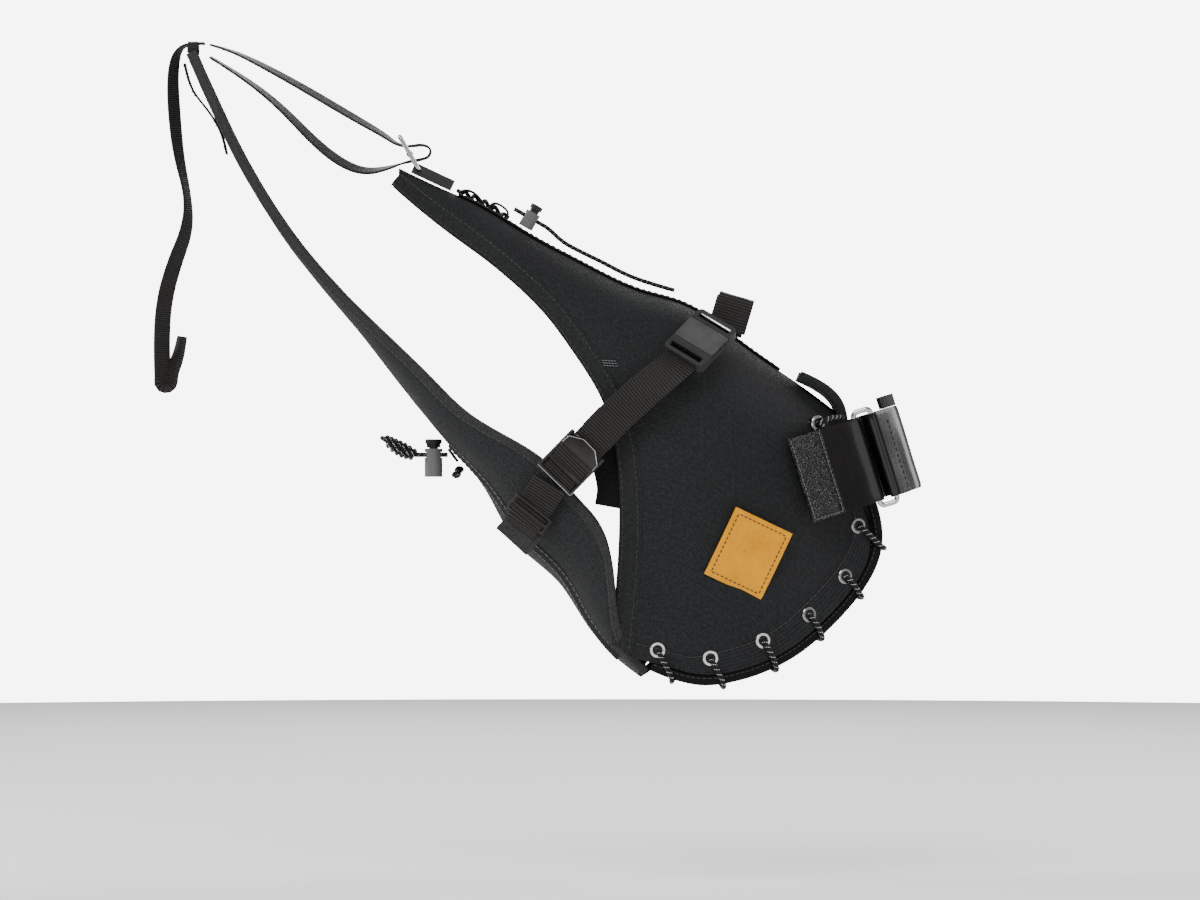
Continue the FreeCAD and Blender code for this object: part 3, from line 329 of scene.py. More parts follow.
def hooks(name):
    """Hook tape: a field of tiny glossy hooks, with pale flecks in its colour as painted glints on them."""
    made = Surface(name, coat=0.06, coat_rough=0.12, specular=0.2)
    vector, _ = made.place("Object")
    cells = made.node("ShaderNodeTexVoronoi")
    cells.inputs["Scale"].default_value = 1150.0
    made.join(vector, cells.inputs["Vector"])
    grain = made.noise(vector, 1700.0, 2.0)
    # Pale flecks painted into the colour as glints on the hooks.
    painted_glints = made.number("GREATER_THAN", grain, 0.64)
    made.colour(made.blend(made.number("MULTIPLY", painted_glints, 0.35), (0.001, 0.001, 0.0012), (0.5, 0.5, 0.52)))
    made.roughness(grain, 0.15, 0.55)
    made.bump(cells.outputs["Distance"], 0.0006)
    return made.material


def thread(name, dark, light):
    """Twisted sewing thread."""
    made = Surface(name, sheen=0.1, specular=0.45)
    vector, axes = made.place("Object")
    twist = made.wave(made.number("ADD", axes[0], axes[2]), 0.0005)
    grain = made.noise(vector, 1500.0, 2.0)
    tone = made.number("MULTIPLY_ADD", twist, 0.6, made.number("MULTIPLY", grain, 0.4))
    made.colour(made.blend(tone, dark, light))
    made.roughness(grain, 0.45, 0.7)
    made.bump(twist, 0.0001)
    return made.material


def grip(name):
    """Matt rubber with a fine lattice of raised dots."""
    made = Surface(name, specular=0.4)
    vector, axes = made.place("Object")
    lattice = made.number("MULTIPLY", made.wave(axes[1], 0.0022), made.wave(axes[2], 0.0022))
    grain = made.noise(vector, 1200.0, 2.0)
    made.colour(made.blend(grain, (0.012, 0.012, 0.012), (0.04, 0.04, 0.04)))
    made.roughness(grain, 0.6, 0.85)
    made.bump(lattice, 0.0003)
    return made.material


M = {
    "shell": woven("shell_cloth", (0.0012, 0.0013, 0.0014), (0.026, 0.027, 0.0285),
                   0.0013, 0.0011, sheen=0.01, wear=0.10),
    "lower": woven("lower_cloth", (0.0012, 0.0013, 0.0014), (0.034, 0.035, 0.0365),
                   0.0015, 0.0015, depth=0.0002, sheen=0.01, wear=0.08),
    "lining": woven("lining_cloth", (0.002, 0.002, 0.0022), (0.012, 0.012, 0.013),
                    0.0009, 0.0009, depth=0.00006),
    "binding": woven("edge_binding", (0.002, 0.0021, 0.0023), (0.026, 0.027, 0.028),
                     0.0008, 0.0012, sheen=0.02),
    "grey_binding": woven("grey_binding", (0.006, 0.0063, 0.0066), (0.045, 0.0455, 0.047),
                          0.0008, 0.0012, sheen=0.04),
    "piping": woven("rim_cloth", (0.001, 0.001, 0.0012), (0.009, 0.009, 0.0098),
                    0.0009, 0.0012, sheen=0.01),
    "webbing": ribbed("wide_webbing", (0.0006, 0.0005, 0.0005), (0.055, 0.05, 0.047), 0.0016, sheen=0.01),
    "narrow": ribbed("narrow_webbing", (0.001, 0.0009, 0.0009), (0.05, 0.045, 0.042), 0.0012, sheen=0.01),
    "coated": coated("coated_strap"),
    "hooks": hooks("hook_field"),
    "grip": grip("grip_pad"),
    "nickel": metal("nickel", (0.4, 0.39, 0.37), (0.66, 0.65, 0.63), (0.08, 0.22)),
    "plate": metal("satin_plate", (0.09, 0.09, 0.092), (0.2, 0.2, 0.205), (0.25, 0.4), 0.6),
    "gunmetal": metal("dark_metal", (0.006, 0.0055, 0.005), (0.03, 0.027, 0.025), (0.25, 0.42), 0.3, 0.6),
    "steel": metal("spring_steel", (0.45, 0.45, 0.46), (0.68, 0.68, 0.7), (0.15, 0.3)),
    # Bright metal for the painted highlight lines along the ladder lock's edges.
    "edge_highlight_metal": metal("edge_highlight_metal", (0.3, 0.29, 0.28), (0.5, 0.49, 0.47), (0.15, 0.3)),
    "magnet": metal("magnet_plate", (0.4, 0.4, 0.41), (0.55, 0.55, 0.57), (0.2, 0.35)),
    "plastic": plastic("moulded_plastic"),
    "grey_plastic": plastic("barrel_plastic", (0.035, 0.035, 0.037), (0.35, 0.55)),
    "braid": braid("braided_cord", 0.8),
    "bungee": braid("bungee_cord", 0.35),
    "leather": leather("label_hide"),
    "thread": thread("dark_thread", (0.004, 0.004, 0.0045), (0.05, 0.05, 0.053)),
    "pale_thread": thread("pale_thread", (0.05, 0.05, 0.053), (0.22, 0.22, 0.23)),
    "ink": thread("label_mark", (0.012, 0.008, 0.004), (0.05, 0.035, 0.02)),
}

floor_surface = Surface("floor", rough=0.75)
floor_vector, _ = floor_surface.place("Object")
floor_patches = floor_surface.noise(floor_vector, 3.0)
floor_surface.colour(floor_surface.blend(floor_patches, (0.86, 0.86, 0.86), (0.9, 0.9, 0.9)))
floor_mesh = bpy.data.meshes.new("floor")
floor_build = bmesh.new()
bmesh.ops.create_circle(floor_build, cap_ends=True, radius=2.2, segments=96)
floor_build.to_mesh(floor_mesh)
floor_build.free()
floor = bpy.data.objects.new("floor", floor_mesh)
floor.location = (-0.16, 0.0, -0.24)
floor.data.materials.append(floor_surface.material)
SCENE.collection.objects.link(floor)

# ---------------------------------------------------------------- lines and meshes


def cubic(knots, rows):
    """Smooth function through the rows at the knots."""
    knots = np.asarray(knots, float)
    rows = np.asarray(rows, float).reshape(len(knots), -1)
    gaps = np.diff(knots)
    matrix = np.eye(len(knots))
    right = np.zeros_like(rows)
    for i in range(1, len(knots) - 1):
        matrix[i, i - 1:i + 2] = gaps[i - 1], 2.0 * (gaps[i - 1] + gaps[i]), gaps[i]
        right[i] = 6.0 * ((rows[i + 1] - rows[i]) / gaps[i] - (rows[i] - rows[i - 1]) / gaps[i - 1])
    bends = np.linalg.solve(matrix, right)

    def at(where):
        where = np.atleast_1d(np.asarray(where, float))
        index = np.clip(np.searchsorted(knots, where) - 1, 0, len(knots) - 2)
        gap = gaps[index][:, None]
        low = (where - knots[index])[:, None]
        high = gap - low
        curved = (bends[index] * high ** 3 + bends[index + 1] * low ** 3) / (6.0 * gap)
        first = (rows[index] / gap - bends[index] * gap / 6.0) * high
        second = (rows[index + 1] / gap - bends[index + 1] * gap / 6.0) * low
        return curved + first + second

    return at


def chords(rows):
    """Distance along a line at each of its points."""
    steps = np.linalg.norm(np.diff(np.asarray(rows, float), axis=0), axis=1)
    return np.concatenate([[0.0], np.cumsum(steps)])


def evened(points, count):
    """Evenly spaced samples of the smooth line through the points."""
    rows = np.asarray(points, float)
    knots = chords(rows)
    dense = cubic(knots, rows)(np.linspace(0.0, knots[-1], 40 * len(rows)))
    lengths = chords(dense)
    wanted = np.linspace(0.0, lengths[-1], count)
    return np.stack([np.interp(wanted, lengths, dense[:, k]) for k in range(rows.shape[1])], axis=1)


def straight(corners, count):
    """Points evenly spaced along straight runs between corners."""
    rows = np.array(corners, dtype=float)
    lengths = chords(rows)
    wanted = np.linspace(0.0, lengths[-1], count)
    return list(zip(*(np.interp(wanted, lengths, rows[:, k]) for k in range(rows.shape[1]))))


def smooth(points, count):
    """Evenly spaced points of the smooth line through points in metres, as vectors."""
    return [Vector(row) for row in evened([tuple(p) for p in points], count)]


def nurbs_line(points, resolution=10):
    """Points along the cord's own smooth line, in order."""
    data = bpy.data.curves.new("line", "CURVE")
    data.dimensions = "3D"
    line = data.splines.new("NURBS")
    line.points.add(len(points) - 1)
    for control, point in zip(line.points, points):
        control.co = (*point, 1.0)
    line.order_u = 3
    line.use_endpoint_u = True
    line.resolution_u = resolution
    holder = bpy.data.objects.new("line", data)
    mesh = bpy.data.meshes.new_from_object(holder)
    found = [vertex.co.copy() for vertex in mesh.vertices]
    bpy.data.objects.remove(holder)
    bpy.data.meshes.remove(mesh)
    bpy.data.curves.remove(data)
    return found


def frames(path, across):
    """Direction along, across and up at each point of a path; across is one vector or one for each point."""
    found = []
    for i, point in enumerate(path):
        along = (path[min(i + 1, len(path) - 1)] - path[max(i - 1, 0)]).normalized()
        wish = across[i] if isinstance(across, list) else across
        sideways = (wish - along * wish.dot(along)).normalized()
        found.append((along, sideways, along.cross(sideways)))
    return found


def turning(path, across, angles):
    """Across vectors that twist about the path, by the given degrees from its start to its end."""
    twist = cubic(np.linspace(0.0, 1.0, len(angles)), angles)
    vectors = []
    for i, (along, sideways, _) in enumerate(frames(path, across)):
        angle = math.radians(float(twist(i / (len(path) - 1))[0, 0]))
        vectors.append(Matrix.Rotation(angle, 3, along) @ sideways)
    return vectors


def flat_profile(wide, thick):
    """Cross-section of a strap with rounded edges."""
    half = wide / 2.0
    high = thick / 2.0
    bend = min(high, half)
    points = []
    for sign in (1, -1):
        for step in range(5):
            angle = math.radians(90.0 - step * 45.0)
            points.append((sign * (half - bend + bend * math.cos(angle)), sign * high * math.sin(angle)))
        for step in range(1, 6):
            points.append((sign * (half - bend) * (1.0 - step / 3.0), -sign * high))
    return points


def round_profile(radius, count=10):
    turns = [2.0 * math.pi * i / count for i in range(count)]
    return [(radius * math.cos(a), radius * math.sin(a)) for a in turns]


def soft_square(wide, high, count, power):
    """Cross-section between a rectangle and an ellipse."""
    points = []
    for i in range(count):
        angle = 2.0 * math.pi * i / count
        c, s = math.cos(angle), math.sin(angle)
        points.append((math.copysign(abs(c) ** (2.0 / power), c) * wide / 2.0,
                       math.copysign(abs(s) ** (2.0 / power), s) * high / 2.0))
    return points


class Build:
    """Gathers a mesh from grids, sweeps and plates, with lengths in metres as its UVs."""

    def __init__(self):
        self.points = []
        self.faces = []
        self.uvs = []

    def face(self, corners, uv):
        self.faces.append(tuple(corners))
        self.uvs.extend(uv)

    def grid(self, points, uv, wrap=False):
        """Quads over rows of points; wrap joins each row's last point to its first."""
        start = len(self.points)
        wide = len(points[0])
        for row in points:
            self.points.extend(row)
        for i in range(len(points) - 1):
            for j in range(wide if wrap else wide - 1):
                k = (j + 1) % wide
                corners = (start + i * wide + j, start + (i + 1) * wide + j,
                           start + (i + 1) * wide + k, start + i * wide + k)
                span = (uv[i][j], uv[i + 1][j], uv[i + 1][j + 1], uv[i][j + 1])
                self.face(corners, span)
        return start, wide

    def slab(self, outer, inner, uv):
        """A closed sheet between two grids of the same size."""
        first, wide = self.grid(outer, uv)
        second, _ = self.grid(inner, uv)
        tall = len(outer)
        border = [(i, 0) for i in range(tall)]
        border += [(tall - 1, j) for j in range(1, wide)]
        border += [(i, wide - 1) for i in range(tall - 2, -1, -1)]
        border += [(0, j) for j in range(wide - 2, 0, -1)]
        for (i, j), (m, n) in zip(border, border[1:] + border[:1]):
            here, ahead = i * wide + j, m * wide + n
            self.face((first + here, first + ahead, second + ahead, second + here),
                      (uv[i][j], uv[m][n], uv[m][n], uv[i][j]))

    def tube(self, rows, uv, flat=None):
        """Closed cross-sections joined in order, with a cap on each end."""
        start, wide = self.grid(rows, uv, wrap=True)
        last = start + (len(rows) - 1) * wide
        flat = flat or [(0.0, 0.0)] * wide
        self.face([start + j for j in range(wide)], flat)
        self.face([last + j for j in reversed(range(wide))], list(reversed(flat)))

    def sweep(self, path, across, profile):
        """A closed cross-section carried along a path."""
        lengths = chords(path)
        around = chords(list(profile) + [profile[0]])
        rows, uv = [], []
        for point, length, (_, sideways, up) in zip(path, lengths, frames(path, across)):
            rows.append([point + sideways * a + up * b for a, b in profile])
            uv.append([(float(length), float(v)) for v in around])
        self.tube(rows, uv, [(float(a), float(b)) for a, b in profile])

    def absorb(self, made, matrix):
        """Everything in a bmesh, placed by a matrix."""
        start = len(self.points)
        made.verts.ensure_lookup_table()
        self.points.extend(matrix @ vertex.co for vertex in made.verts)
        for face in made.faces:
            corners = [start + vertex.index for vertex in face.verts]
            self.face(corners, [(vertex.co.x, vertex.co.y) for vertex in face.verts])
        made.free()

    def plate(self, outline, low, high, matrix, bevel=0.0004):
        """A plate of any outline between two heights, with softened edges."""
        made = bmesh.new()
        bottom = [made.verts.new((x, y, low)) for x, y in outline]
        face = made.faces.new(bottom)
        grown = bmesh.ops.extrude_face_region(made, geom=[face])
        moved = [g for g in grown["geom"] if isinstance(g, bmesh.types.BMVert)]
        bmesh.ops.translate(made, verts=moved, vec=(0.0, 0.0, high - low))
        bmesh.ops.bevel(made, geom=list(made.edges), offset=bevel, segments=3, profile=0.5, affect="EDGES")
        made.verts.index_update()
        self.absorb(made, matrix)

    def block(self, centre, extent, matrix, bevel=0.0004):
        x, y, z = centre
        a, b, c = (value / 2.0 for value in extent)
        outline = ((x - a, y - b), (x + a, y - b), (x + a, y + b), (x - a, y + b))
        self.plate(outline, z - c, z + c, matrix, bevel)

    def stitches(self, path, outward, long=0.0026, gap=0.0009, radius=0.00024):
        """A row of sewn stitches lying on a surface; outward is one vector for each point."""
        lengths = chords(path)
        count = int(lengths[-1] // (long + gap))
        rows = np.array([tuple(p) for p in path])
        ups = np.array([tuple(v) for v in outward])

        def sample(table, distance):
            return Vector([float(np.interp(distance, lengths, table[:, k])) for k in range(3)])

        for i in range(count):
            begin = (i + 0.5) * (long + gap) - long / 2.0
            start = sample(rows, begin)
            end = sample(rows, begin + long)
            up = sample(ups, begin + long / 2.0).normalized()
            along = (end - start).normalized()
            across = along.cross(up)
            start += across * random.uniform(-0.00008, 0.00008)
            rings, uv = [], []
            for t in (0.0, 0.12, 0.5, 0.88, 1.0):
                swell = radius * (0.45 if t in (0.0, 1.0) else 1.0)
                lift = radius * (1.3 * math.sin(math.pi * t) - 0.25)
                middle = start.lerp(end, t) + up * lift
                rings.append([middle + across * a + up * b for a, b in round_profile(swell, 6)])
                uv.append([(begin + t * long, k * radius) for k in range(7)])
            self.tube(rings, uv)

    def make(self, name, material, slot, body, *nodes, crease=38.0, merge=0.0):
        """The finished object, riding on its body and standing for its CAD nodes."""
        mesh = bpy.data.meshes.new(name)
        mesh.from_pydata([tuple(p) for p in self.points], [], self.faces)
        layer = mesh.uv_layers.new(name="UVMap")
        layer.data.foreach_set("uv", np.array(self.uvs, float).ravel())
        cleaned = bmesh.new()
        cleaned.from_mesh(mesh)
        if merge:
            bmesh.ops.remove_doubles(cleaned, verts=cleaned.verts, dist=merge)
            bmesh.ops.dissolve_degenerate(cleaned, edges=cleaned.edges, dist=1e-7)
        bmesh.ops.recalc_face_normals(cleaned, faces=cleaned.faces)
        cleaned.to_mesh(mesh)
        cleaned.free()
        mesh.shade_smooth()
        mesh.set_sharp_from_angle(angle=math.radians(crease))
        mesh.materials.append(M[material])
        made = bpy.data.objects.new(name, mesh)
        SCENE.collection.objects.link(made)
        if body:
            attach(made, body)
        if nodes:
            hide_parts(*nodes)
        return made


def placing(origin, along, outward):
    """Matrix with local X along a piece and local Z outward, the same way round as the CAD's."""
    along = Vector(along).normalized()
    outward = Vector(outward)
    outward = (outward - along * outward.dot(along)).normalized()
    across = outward.cross(along)
    matrix = Matrix((along, across, outward)).transposed().to_4x4()
    matrix.translation = mm(*origin)
    return matrix


# Mirrors the right side's matrices and points to the left.
FLIP = Matrix.Diagonal((1.0, -1.0, 1.0, 1.0))


def flipped(points):
    return [Vector((p.x, -p.y, p.z)) for p in points]


ACROSS = Vector((0.0, 1.0, 0.0))
# Width and thickness of the narrow webbing.
NARROW_WIDE, NARROW_THICK = 0.010, 0.0012


def bar_tack(build, line, across, share, half, gap):
    """A short row of stitches across the under side of a strap."""
    index = int(share * (len(line) - 1))
    _, sideways, up = frames(line, across)[index]
    row = [line[index] + sideways * (t * half) - up * 0.0007 for t in np.linspace(-1.0, 1.0, 9)]
    build.stitches(row, [-up] * 9, 0.0016, gap)


# ---------------------------------------------------------------- free straps and cords

CLOSURE_RUNS = ((-377.5, 222.6), (-362.0, 213.5), (-340.0, 197.0), (-318.0, 174.0), (-303.0, 162.5),
                (-290.0, 158.0), (-277.0, 160.5), (-268.0, 163.6), (-260.5, 164.8), (-254.5, 166.5),
                (-253.5, 171.5), (-258.5, 173.6), (-265.0, 172.5), (-271.5, 172.8), (-281.0, 179.6),
                (-300.0, 190.5), (-327.0, 206.5), (-350.0, 219.0), (-366.0, 226.5), (-377.5, 229.6))
runs = nurbs_line(side(CLOSURE_RUNS))
build = Build()
runs_across = turning(runs, ACROSS, (6, 22, 30, 20, 1, 0, 0, 0, -14, -24, -18, -4))
build.sweep(runs, runs_across, flat_profile(NARROW_WIDE, NARROW_THICK))
closure_runs = build.make("closure_runs", "narrow", "narrow_webbing", None, "closure_strap_runs")
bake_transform(closure_runs)

CLOSURE_TAIL = ((-380.5, 230.2), (-390.0, 230.6), (-396.3, 225.5), (-398.6, 213.0), (-398.0, 194.0),
                (-395.5, 168.0), (-389.8, 144.0), (-390.2, 126.0), (-398.0, 106.0), (-403.5, 86.0),
                (-405.0, 62.0), (-404.2, 41.5))
tail = nurbs_line(side(CLOSURE_TAIL))
build = Build()
tail_across = turning(tail, ACROSS, (0, 4, 24, 34, 38, 30, 20, 34, 50, 58, 62, 64))
build.sweep(tail, tail_across, flat_profile(NARROW_WIDE, NARROW_THICK))
closure_tail = build.make("closure_tail", "narrow", "narrow_webbing", "lower_panel", "closure_strap_tail")

# The end is folded back on itself and sewn.
CLOSURE_FOLD = ((-404.2, 42.2), (-403.9, 39.0), (-401.2, 38.6), (-399.6, 43.0), (-396.6, 52.0),
                (-393.2, 66.0))
fold = smooth(side(CLOSURE_FOLD), 30)
build = Build()
fold_across = turning(fold, ACROSS, (62, 60, 56, 48, 40, 34))
build.sweep(fold, fold_across, flat_profile(0.0102, 0.0013))
closure_end = build.make("closure_end", "narrow", "narrow_webbing", "lower_panel", "closure_strap_end")
build = Build()
for share in (0.45, 0.62):
    bar_tack(build, fold, fold_across, share, 0.004, 0.0005)
end_sewing = build.make("closure_end_sewing", "pale_thread", "narrow_webbing", "lower_panel")

TOP_BUNGEE = ((-206.9, 137.5), (-192.5, 129.3), (-187.5, 126.4), (-180.0, 119.0), (-170.0, 113.6),
              (-157.0, 107.4), (-144.0, 100.4), (-130.0, 95.4), (-117.0, 91.8))
top_line = nurbs_line(side(TOP_BUNGEE))
build = Build()
build.sweep(top_line, ACROSS, round_profile(0.00125))
top_bungee = build.make("ridge_bungee", "bungee", "elastic_cord", "bag_shell", "top_bungee")

# The lower cord goes out along one strand and comes back along the other.
STRAND = 1.42
LOWER_BUNGEE = ((-244.2, -STRAND, -0.5), (-258.5, -STRAND, -0.5), (-265.5, -STRAND, -0.5),
                (-270.0, -3.2, 2.5), (-276.0, -4.2, 5.8), (-281.0, -3.4, 9.0), (-281.0, 3.4, 9.0),
                (-276.0, 4.2, 5.8), (-270.0, 3.2, 2.5), (-265.5, STRAND, -0.5), (-258.5, STRAND, -0.5),
                (-244.2, STRAND, -0.5))
lower_line = nurbs_line([mm(*point) for point in LOWER_BUNGEE])
build = Build()
build.sweep(lower_line, Vector((0.0, 0.0, 1.0)), round_profile(0.0013))
lower_bungee = build.make("keel_bungee", "bungee", "elastic_cord", "lower_panel", "lower_bungee")

# ---------------------------------------------------------------- shell

# Place along the bike, height of the ridge and half width of the shell there.
SHELL_STATIONS = (
    (-271.0, 160.0, 15.0), (-248.0, 149.0, 20.0), (-226.0, 139.0, 26.0), (-198.0, 122.0, 35.0),
    (-170.0, 107.0, 45.0), (-136.0, 91.0, 54.0), (-108.0, 82.0, 57.0), (-80.0, 62.0, 53.0),
    (-50.0, 41.0, 41.0), (-27.0, 24.0, 28.0), (-10.0, 10.0, 20.0), (6.0, -4.0, 17.0),
)
MOUTH_EDGE = ((-271.5, 158.0), (-248.0, 140.0), (-226.0, 124.0), (-204.0, 106.0), (-181.0, 84.0),
              (-164.0, 61.0), (-146.0, 30.0), (-137.0, -10.0), (-136.0, -48.0), (-138.0, -82.0),
              (-141.0, -112.0))
LACED_EDGE = ((-141.0, -112.0), (-125.0, -116.0), (-103.0, -121.3), (-80.0, -118.3), (-54.0, -107.3),
              (-34.0, -91.3), (-17.0, -72.3), (-9.0, -55.0), (-8.8, -43.0), (-15.5, -22.0),
              (-22.0, -4.0), (-26.0, 12.0))
SIDES = (("right", -1.0), ("left", 1.0))
STATION_X = [station[0] for station in SHELL_STATIONS]
RIDGE_AT = cubic(STATION_X, [station[1] for station in SHELL_STATIONS])
HALF_AT = cubic(STATION_X, [station[2] for station in SHELL_STATIONS])


def half_width(x):
    return float(HALF_AT(x)[0, 0])


def ridge_height(x):
    return float(RIDGE_AT(x)[0, 0])


def unrolled(x, z):
    """Distance down the panel from the ridge to a place in the side view."""
    half = half_width(x)
    centre = ridge_height(x) - half
    if z >= centre:
        return half * math.acos(min(1.0, (z - centre) / half))
    return half * math.pi / 2.0 + centre - z


def shell_point(x, down, depth, sign):
    """Point of a side panel, in metres, at a depth in from its outer face in millimetres."""
    half = half_width(x)
    centre = ridge_height(x) - half
    quarter = half * math.pi / 2.0
    reach = half - depth
    if down < quarter:
        angle = down / half
        return mm(x, sign * reach * math.sin(angle), centre + reach * math.cos(angle))
    return mm(x, sign * reach, centre - (down - quarter))


def shell_outward(x, down, sign):
    return (shell_point(x, down, -1.0, sign) - shell_point(x, down, 0.0, sign)).normalized()


COLUMNS, ROWS = 150, 44
mouth_line = [(x, unrolled(x, z)) for x, z in evened(MOUTH_EDGE, COLUMNS)]
laced_line = [(x, unrolled(x, z)) for x, z in evened(LACED_EDGE, 400)]
front_x, front_down = laced_line[-1]
outer_line = [(x, 0.0) for x in np.linspace(-271.5, front_x, 200)]
outer_line += [(front_x, down) for down in np.linspace(0.0, front_down, 30)[1:]]
outer_line += list(reversed(laced_line))[1:]
outer_line = straight(outer_line, COLUMNS)


def ripple(x, down, sign):
    """Slack of the cloth in millimetres."""
    broad = noise.noise(Vector((x / 46.0, down / 46.0, 3.0 * sign)))
    fine = noise.noise(Vector((x / 13.0, down / 17.0, 7.0 * sign)))
    return 0.28 * broad + 0.07 * fine


def panel_grids(near, far, sign):
    """Both faces of a sheet of the side panel between two depths, with its UVs."""
    outer, inner, uv = [], [], []
    for (ax, aw), (bx, bw) in zip(mouth_line, outer_line):
        rows = ([], [], [])
        for j in range(ROWS):
            share = j / (ROWS - 1)
            x = ax + (bx - ax) * share
            down = aw + (bw - aw) * share
            shift = ripple(x, down, sign)
            rows[0].append(shell_point(x, down, near - shift, sign))
            rows[1].append(shell_point(x, down, far - shift, sign))
            rows[2].append((x * 0.001, down * 0.001))
        outer.append(rows[0])
        inner.append(rows[1])
        uv.append(rows[2])
    return outer, inner, uv


EYELETS = ((-127.0, -108.0), (-98.0, -112.5), (-69.0, -103.0), (-43.0, -89.0), (-22.5, -68.0),
           (-15.0, -40.0), (-38.0, 17.0))
EYELET_HOLE = 0.0030


def side_normal(x):
    """Outward direction of the right panel's upright wall."""
    slope = (half_width(x + 1.0) - half_width(x - 1.0)) / 2.0
    return Vector((-slope, -1.0, 0.0)).normalized()


def punched(made, sign):
    """Cuts the eyelets' holes through a panel."""
    holes = bmesh.new()
    for x, z in EYELETS:
        outward = side_normal(x)
        outward.y *= -sign
        turned = outward.to_track_quat("Z", "Y").to_matrix().to_4x4()
        place = Matrix.Translation(mm(x, sign * half_width(x), z)) @ turned
        bmesh.ops.create_cone(holes, cap_ends=True, segments=24, radius1=EYELET_HOLE, radius2=EYELET_HOLE,
                              depth=0.016, matrix=place)
    mesh = bpy.data.meshes.new("holes")
    holes.to_mesh(mesh)
    holes.free()
    cutter = bpy.data.objects.new("holes", mesh)
    SCENE.collection.objects.link(cutter)
    cut = made.modifiers.new("holes", "BOOLEAN")
    cut.operation = "DIFFERENCE"
    cut.solver = "EXACT"
    cut.object = cutter
    bpy.context.view_layer.update()
    result = bpy.data.meshes.new_from_object(made.evaluated_get(bpy.context.evaluated_depsgraph_get()))
    made.modifiers.clear()
    made.data = result
    result.shade_smooth()
    result.set_sharp_from_angle(angle=math.radians(38.0))
    bpy.data.objects.remove(cutter)


for name, sign in SIDES:
    build = Build()
    build.slab(*panel_grids(-0.05, 1.2, sign))
    panel = build.make(f"shell_cloth_{name}", "shell", "shell_fabric", "bag_shell", f"side_panel_{name}",
                       merge=1e-6)
    punched(panel, sign)
    build = Build()
    build.slab(*panel_grids(1.24, 2.6, sign))
    lining = build.make(f"shell_lining_{name}", "lining", "lining_fabric", "bag_shell", f"side_lining_{name}",
                        f"side_stiffener_{name}", merge=1e-6)
    punched(lining, sign)


def edge_frame(line, inward_left):
    """Each point of an unrolled edge with its direction into the panel."""
    found = []
    for i, (x, down) in enumerate(line):
        bx, bd = line[max(i - 1, 0)]
        ax, ad = line[min(i + 1, len(line) - 1)]
        run = Vector((ax - bx, ad - bd)).normalized()
        inward = Vector((run.y, -run.x)) if inward_left else Vector((-run.y, run.x))
        found.append((x, down, inward))
    return found


def edge_band(build, line, inward_left, sign, profile):
    """A closed band round an edge; profile gives distance in from the edge and depth, both in millimetres."""
    rows, uv = [], []
    lengths = chords([(x, down) for x, down in line]) * 0.001
    around = chords(list(profile) + [profile[0]]) * 0.001
    for (x, down, inward), length in zip(edge_frame(line, inward_left), lengths):
        row = []
        for distance, depth in profile:
            px = x + inward.x * distance
            pd = max(0.0, down + inward.y * distance)
            row.append(shell_point(px, pd, depth - ripple(px, pd, sign), sign))
        rows.append(row)
        uv.append([(float(length), float(v)) for v in around])
    build.tube(rows, uv)


def edge_stitches(build, line, inward_left, sign, distance, depth, **sizes):
    """A row of stitches at a distance in from an edge."""
    path, outward = [], []
    for x, down, inward in edge_frame(line, inward_left):
        px, pd = x + inward.x * distance, max(0.0, down + inward.y * distance)
        path.append(shell_point(px, pd, depth - ripple(px, pd, sign), sign))
        outward.append(shell_outward(px, pd, sign))
    build.stitches(path, outward, **sizes)


# Folded band sewn over the mouth edge and hem along the laced edge, with their stitch lines.
FOLD = ((12.0, -0.1), (11.8, -0.42), (8.0, -0.55), (3.0, -0.62), (0.8, -0.62), (-0.35, -0.2),
        (-0.75, 1.2), (-0.35, 2.8), (0.8, 3.15), (4.0, 3.1), (9.8, 3.0), (10.0, 2.62), (4.0, 2.6),
        (0.6, 2.5), (0.2, 1.3), (0.6, -0.1))
HEM = ((9.6, -0.1), (9.4, -0.4), (6.0, -0.5), (1.2, -0.52), (-0.1, -0.2), (-0.45, 1.2), (-0.1, 2.75),
       (1.2, 3.0), (6.0, 2.95), (6.2, 2.62), (1.0, 2.55), (0.3, 1.3), (0.8, -0.05))
mouth_run = mouth_line[1:-1]
laced_run = [(float(x), float(down)) for x, down in evened(laced_line[::8], 130)][1:-1]
for name, sign in SIDES:
    build = Build()
    edge_band(build, mouth_run, False, sign, FOLD)
    build.make(f"mouth_band_{name}", "binding", "binding", "bag_shell", merge=1e-7)
    build = Build()
    edge_stitches(build, mouth_run, False, sign, 10.4, -0.55)
    edge_stitches(build, mouth_run, False, sign, 2.2, -0.72, long=0.0022)
    build.make(f"mouth_sewing_{name}", "thread", "binding", "bag_shell")
    build = Build()
    edge_band(build, laced_run, True, sign, HEM)
    build.make(f"laced_hem_{name}", "shell", "binding", "bag_shell", merge=1e-7)
    build = Build()
    edge_stitches(build, laced_run, True, sign, 8.0, -0.5)
    build.make(f"laced_sewing_{name}", "thread", "binding", "bag_shell")

# Bar tack on the mouth band.
build = Build()
for _, sign in SIDES:
    for offset in (-1.2, 0.0, 1.2):
        centre = (-153.0 + offset * 0.4, unrolled(-153.0, 50.0) + offset)
        path = [shell_point(centre[0] + t, centre[1] - 0.28 * t, -0.85, sign)
                for t in np.linspace(-4.5, 4.5, 8)]
        build.stitches(path, [shell_outward(*centre, sign)] * 8, 0.0015, 0.0002)
build.make("mouth_tacks", "pale_thread", "binding", "bag_shell")

# ---------------------------------------------------------------- gusset, rim and lacing

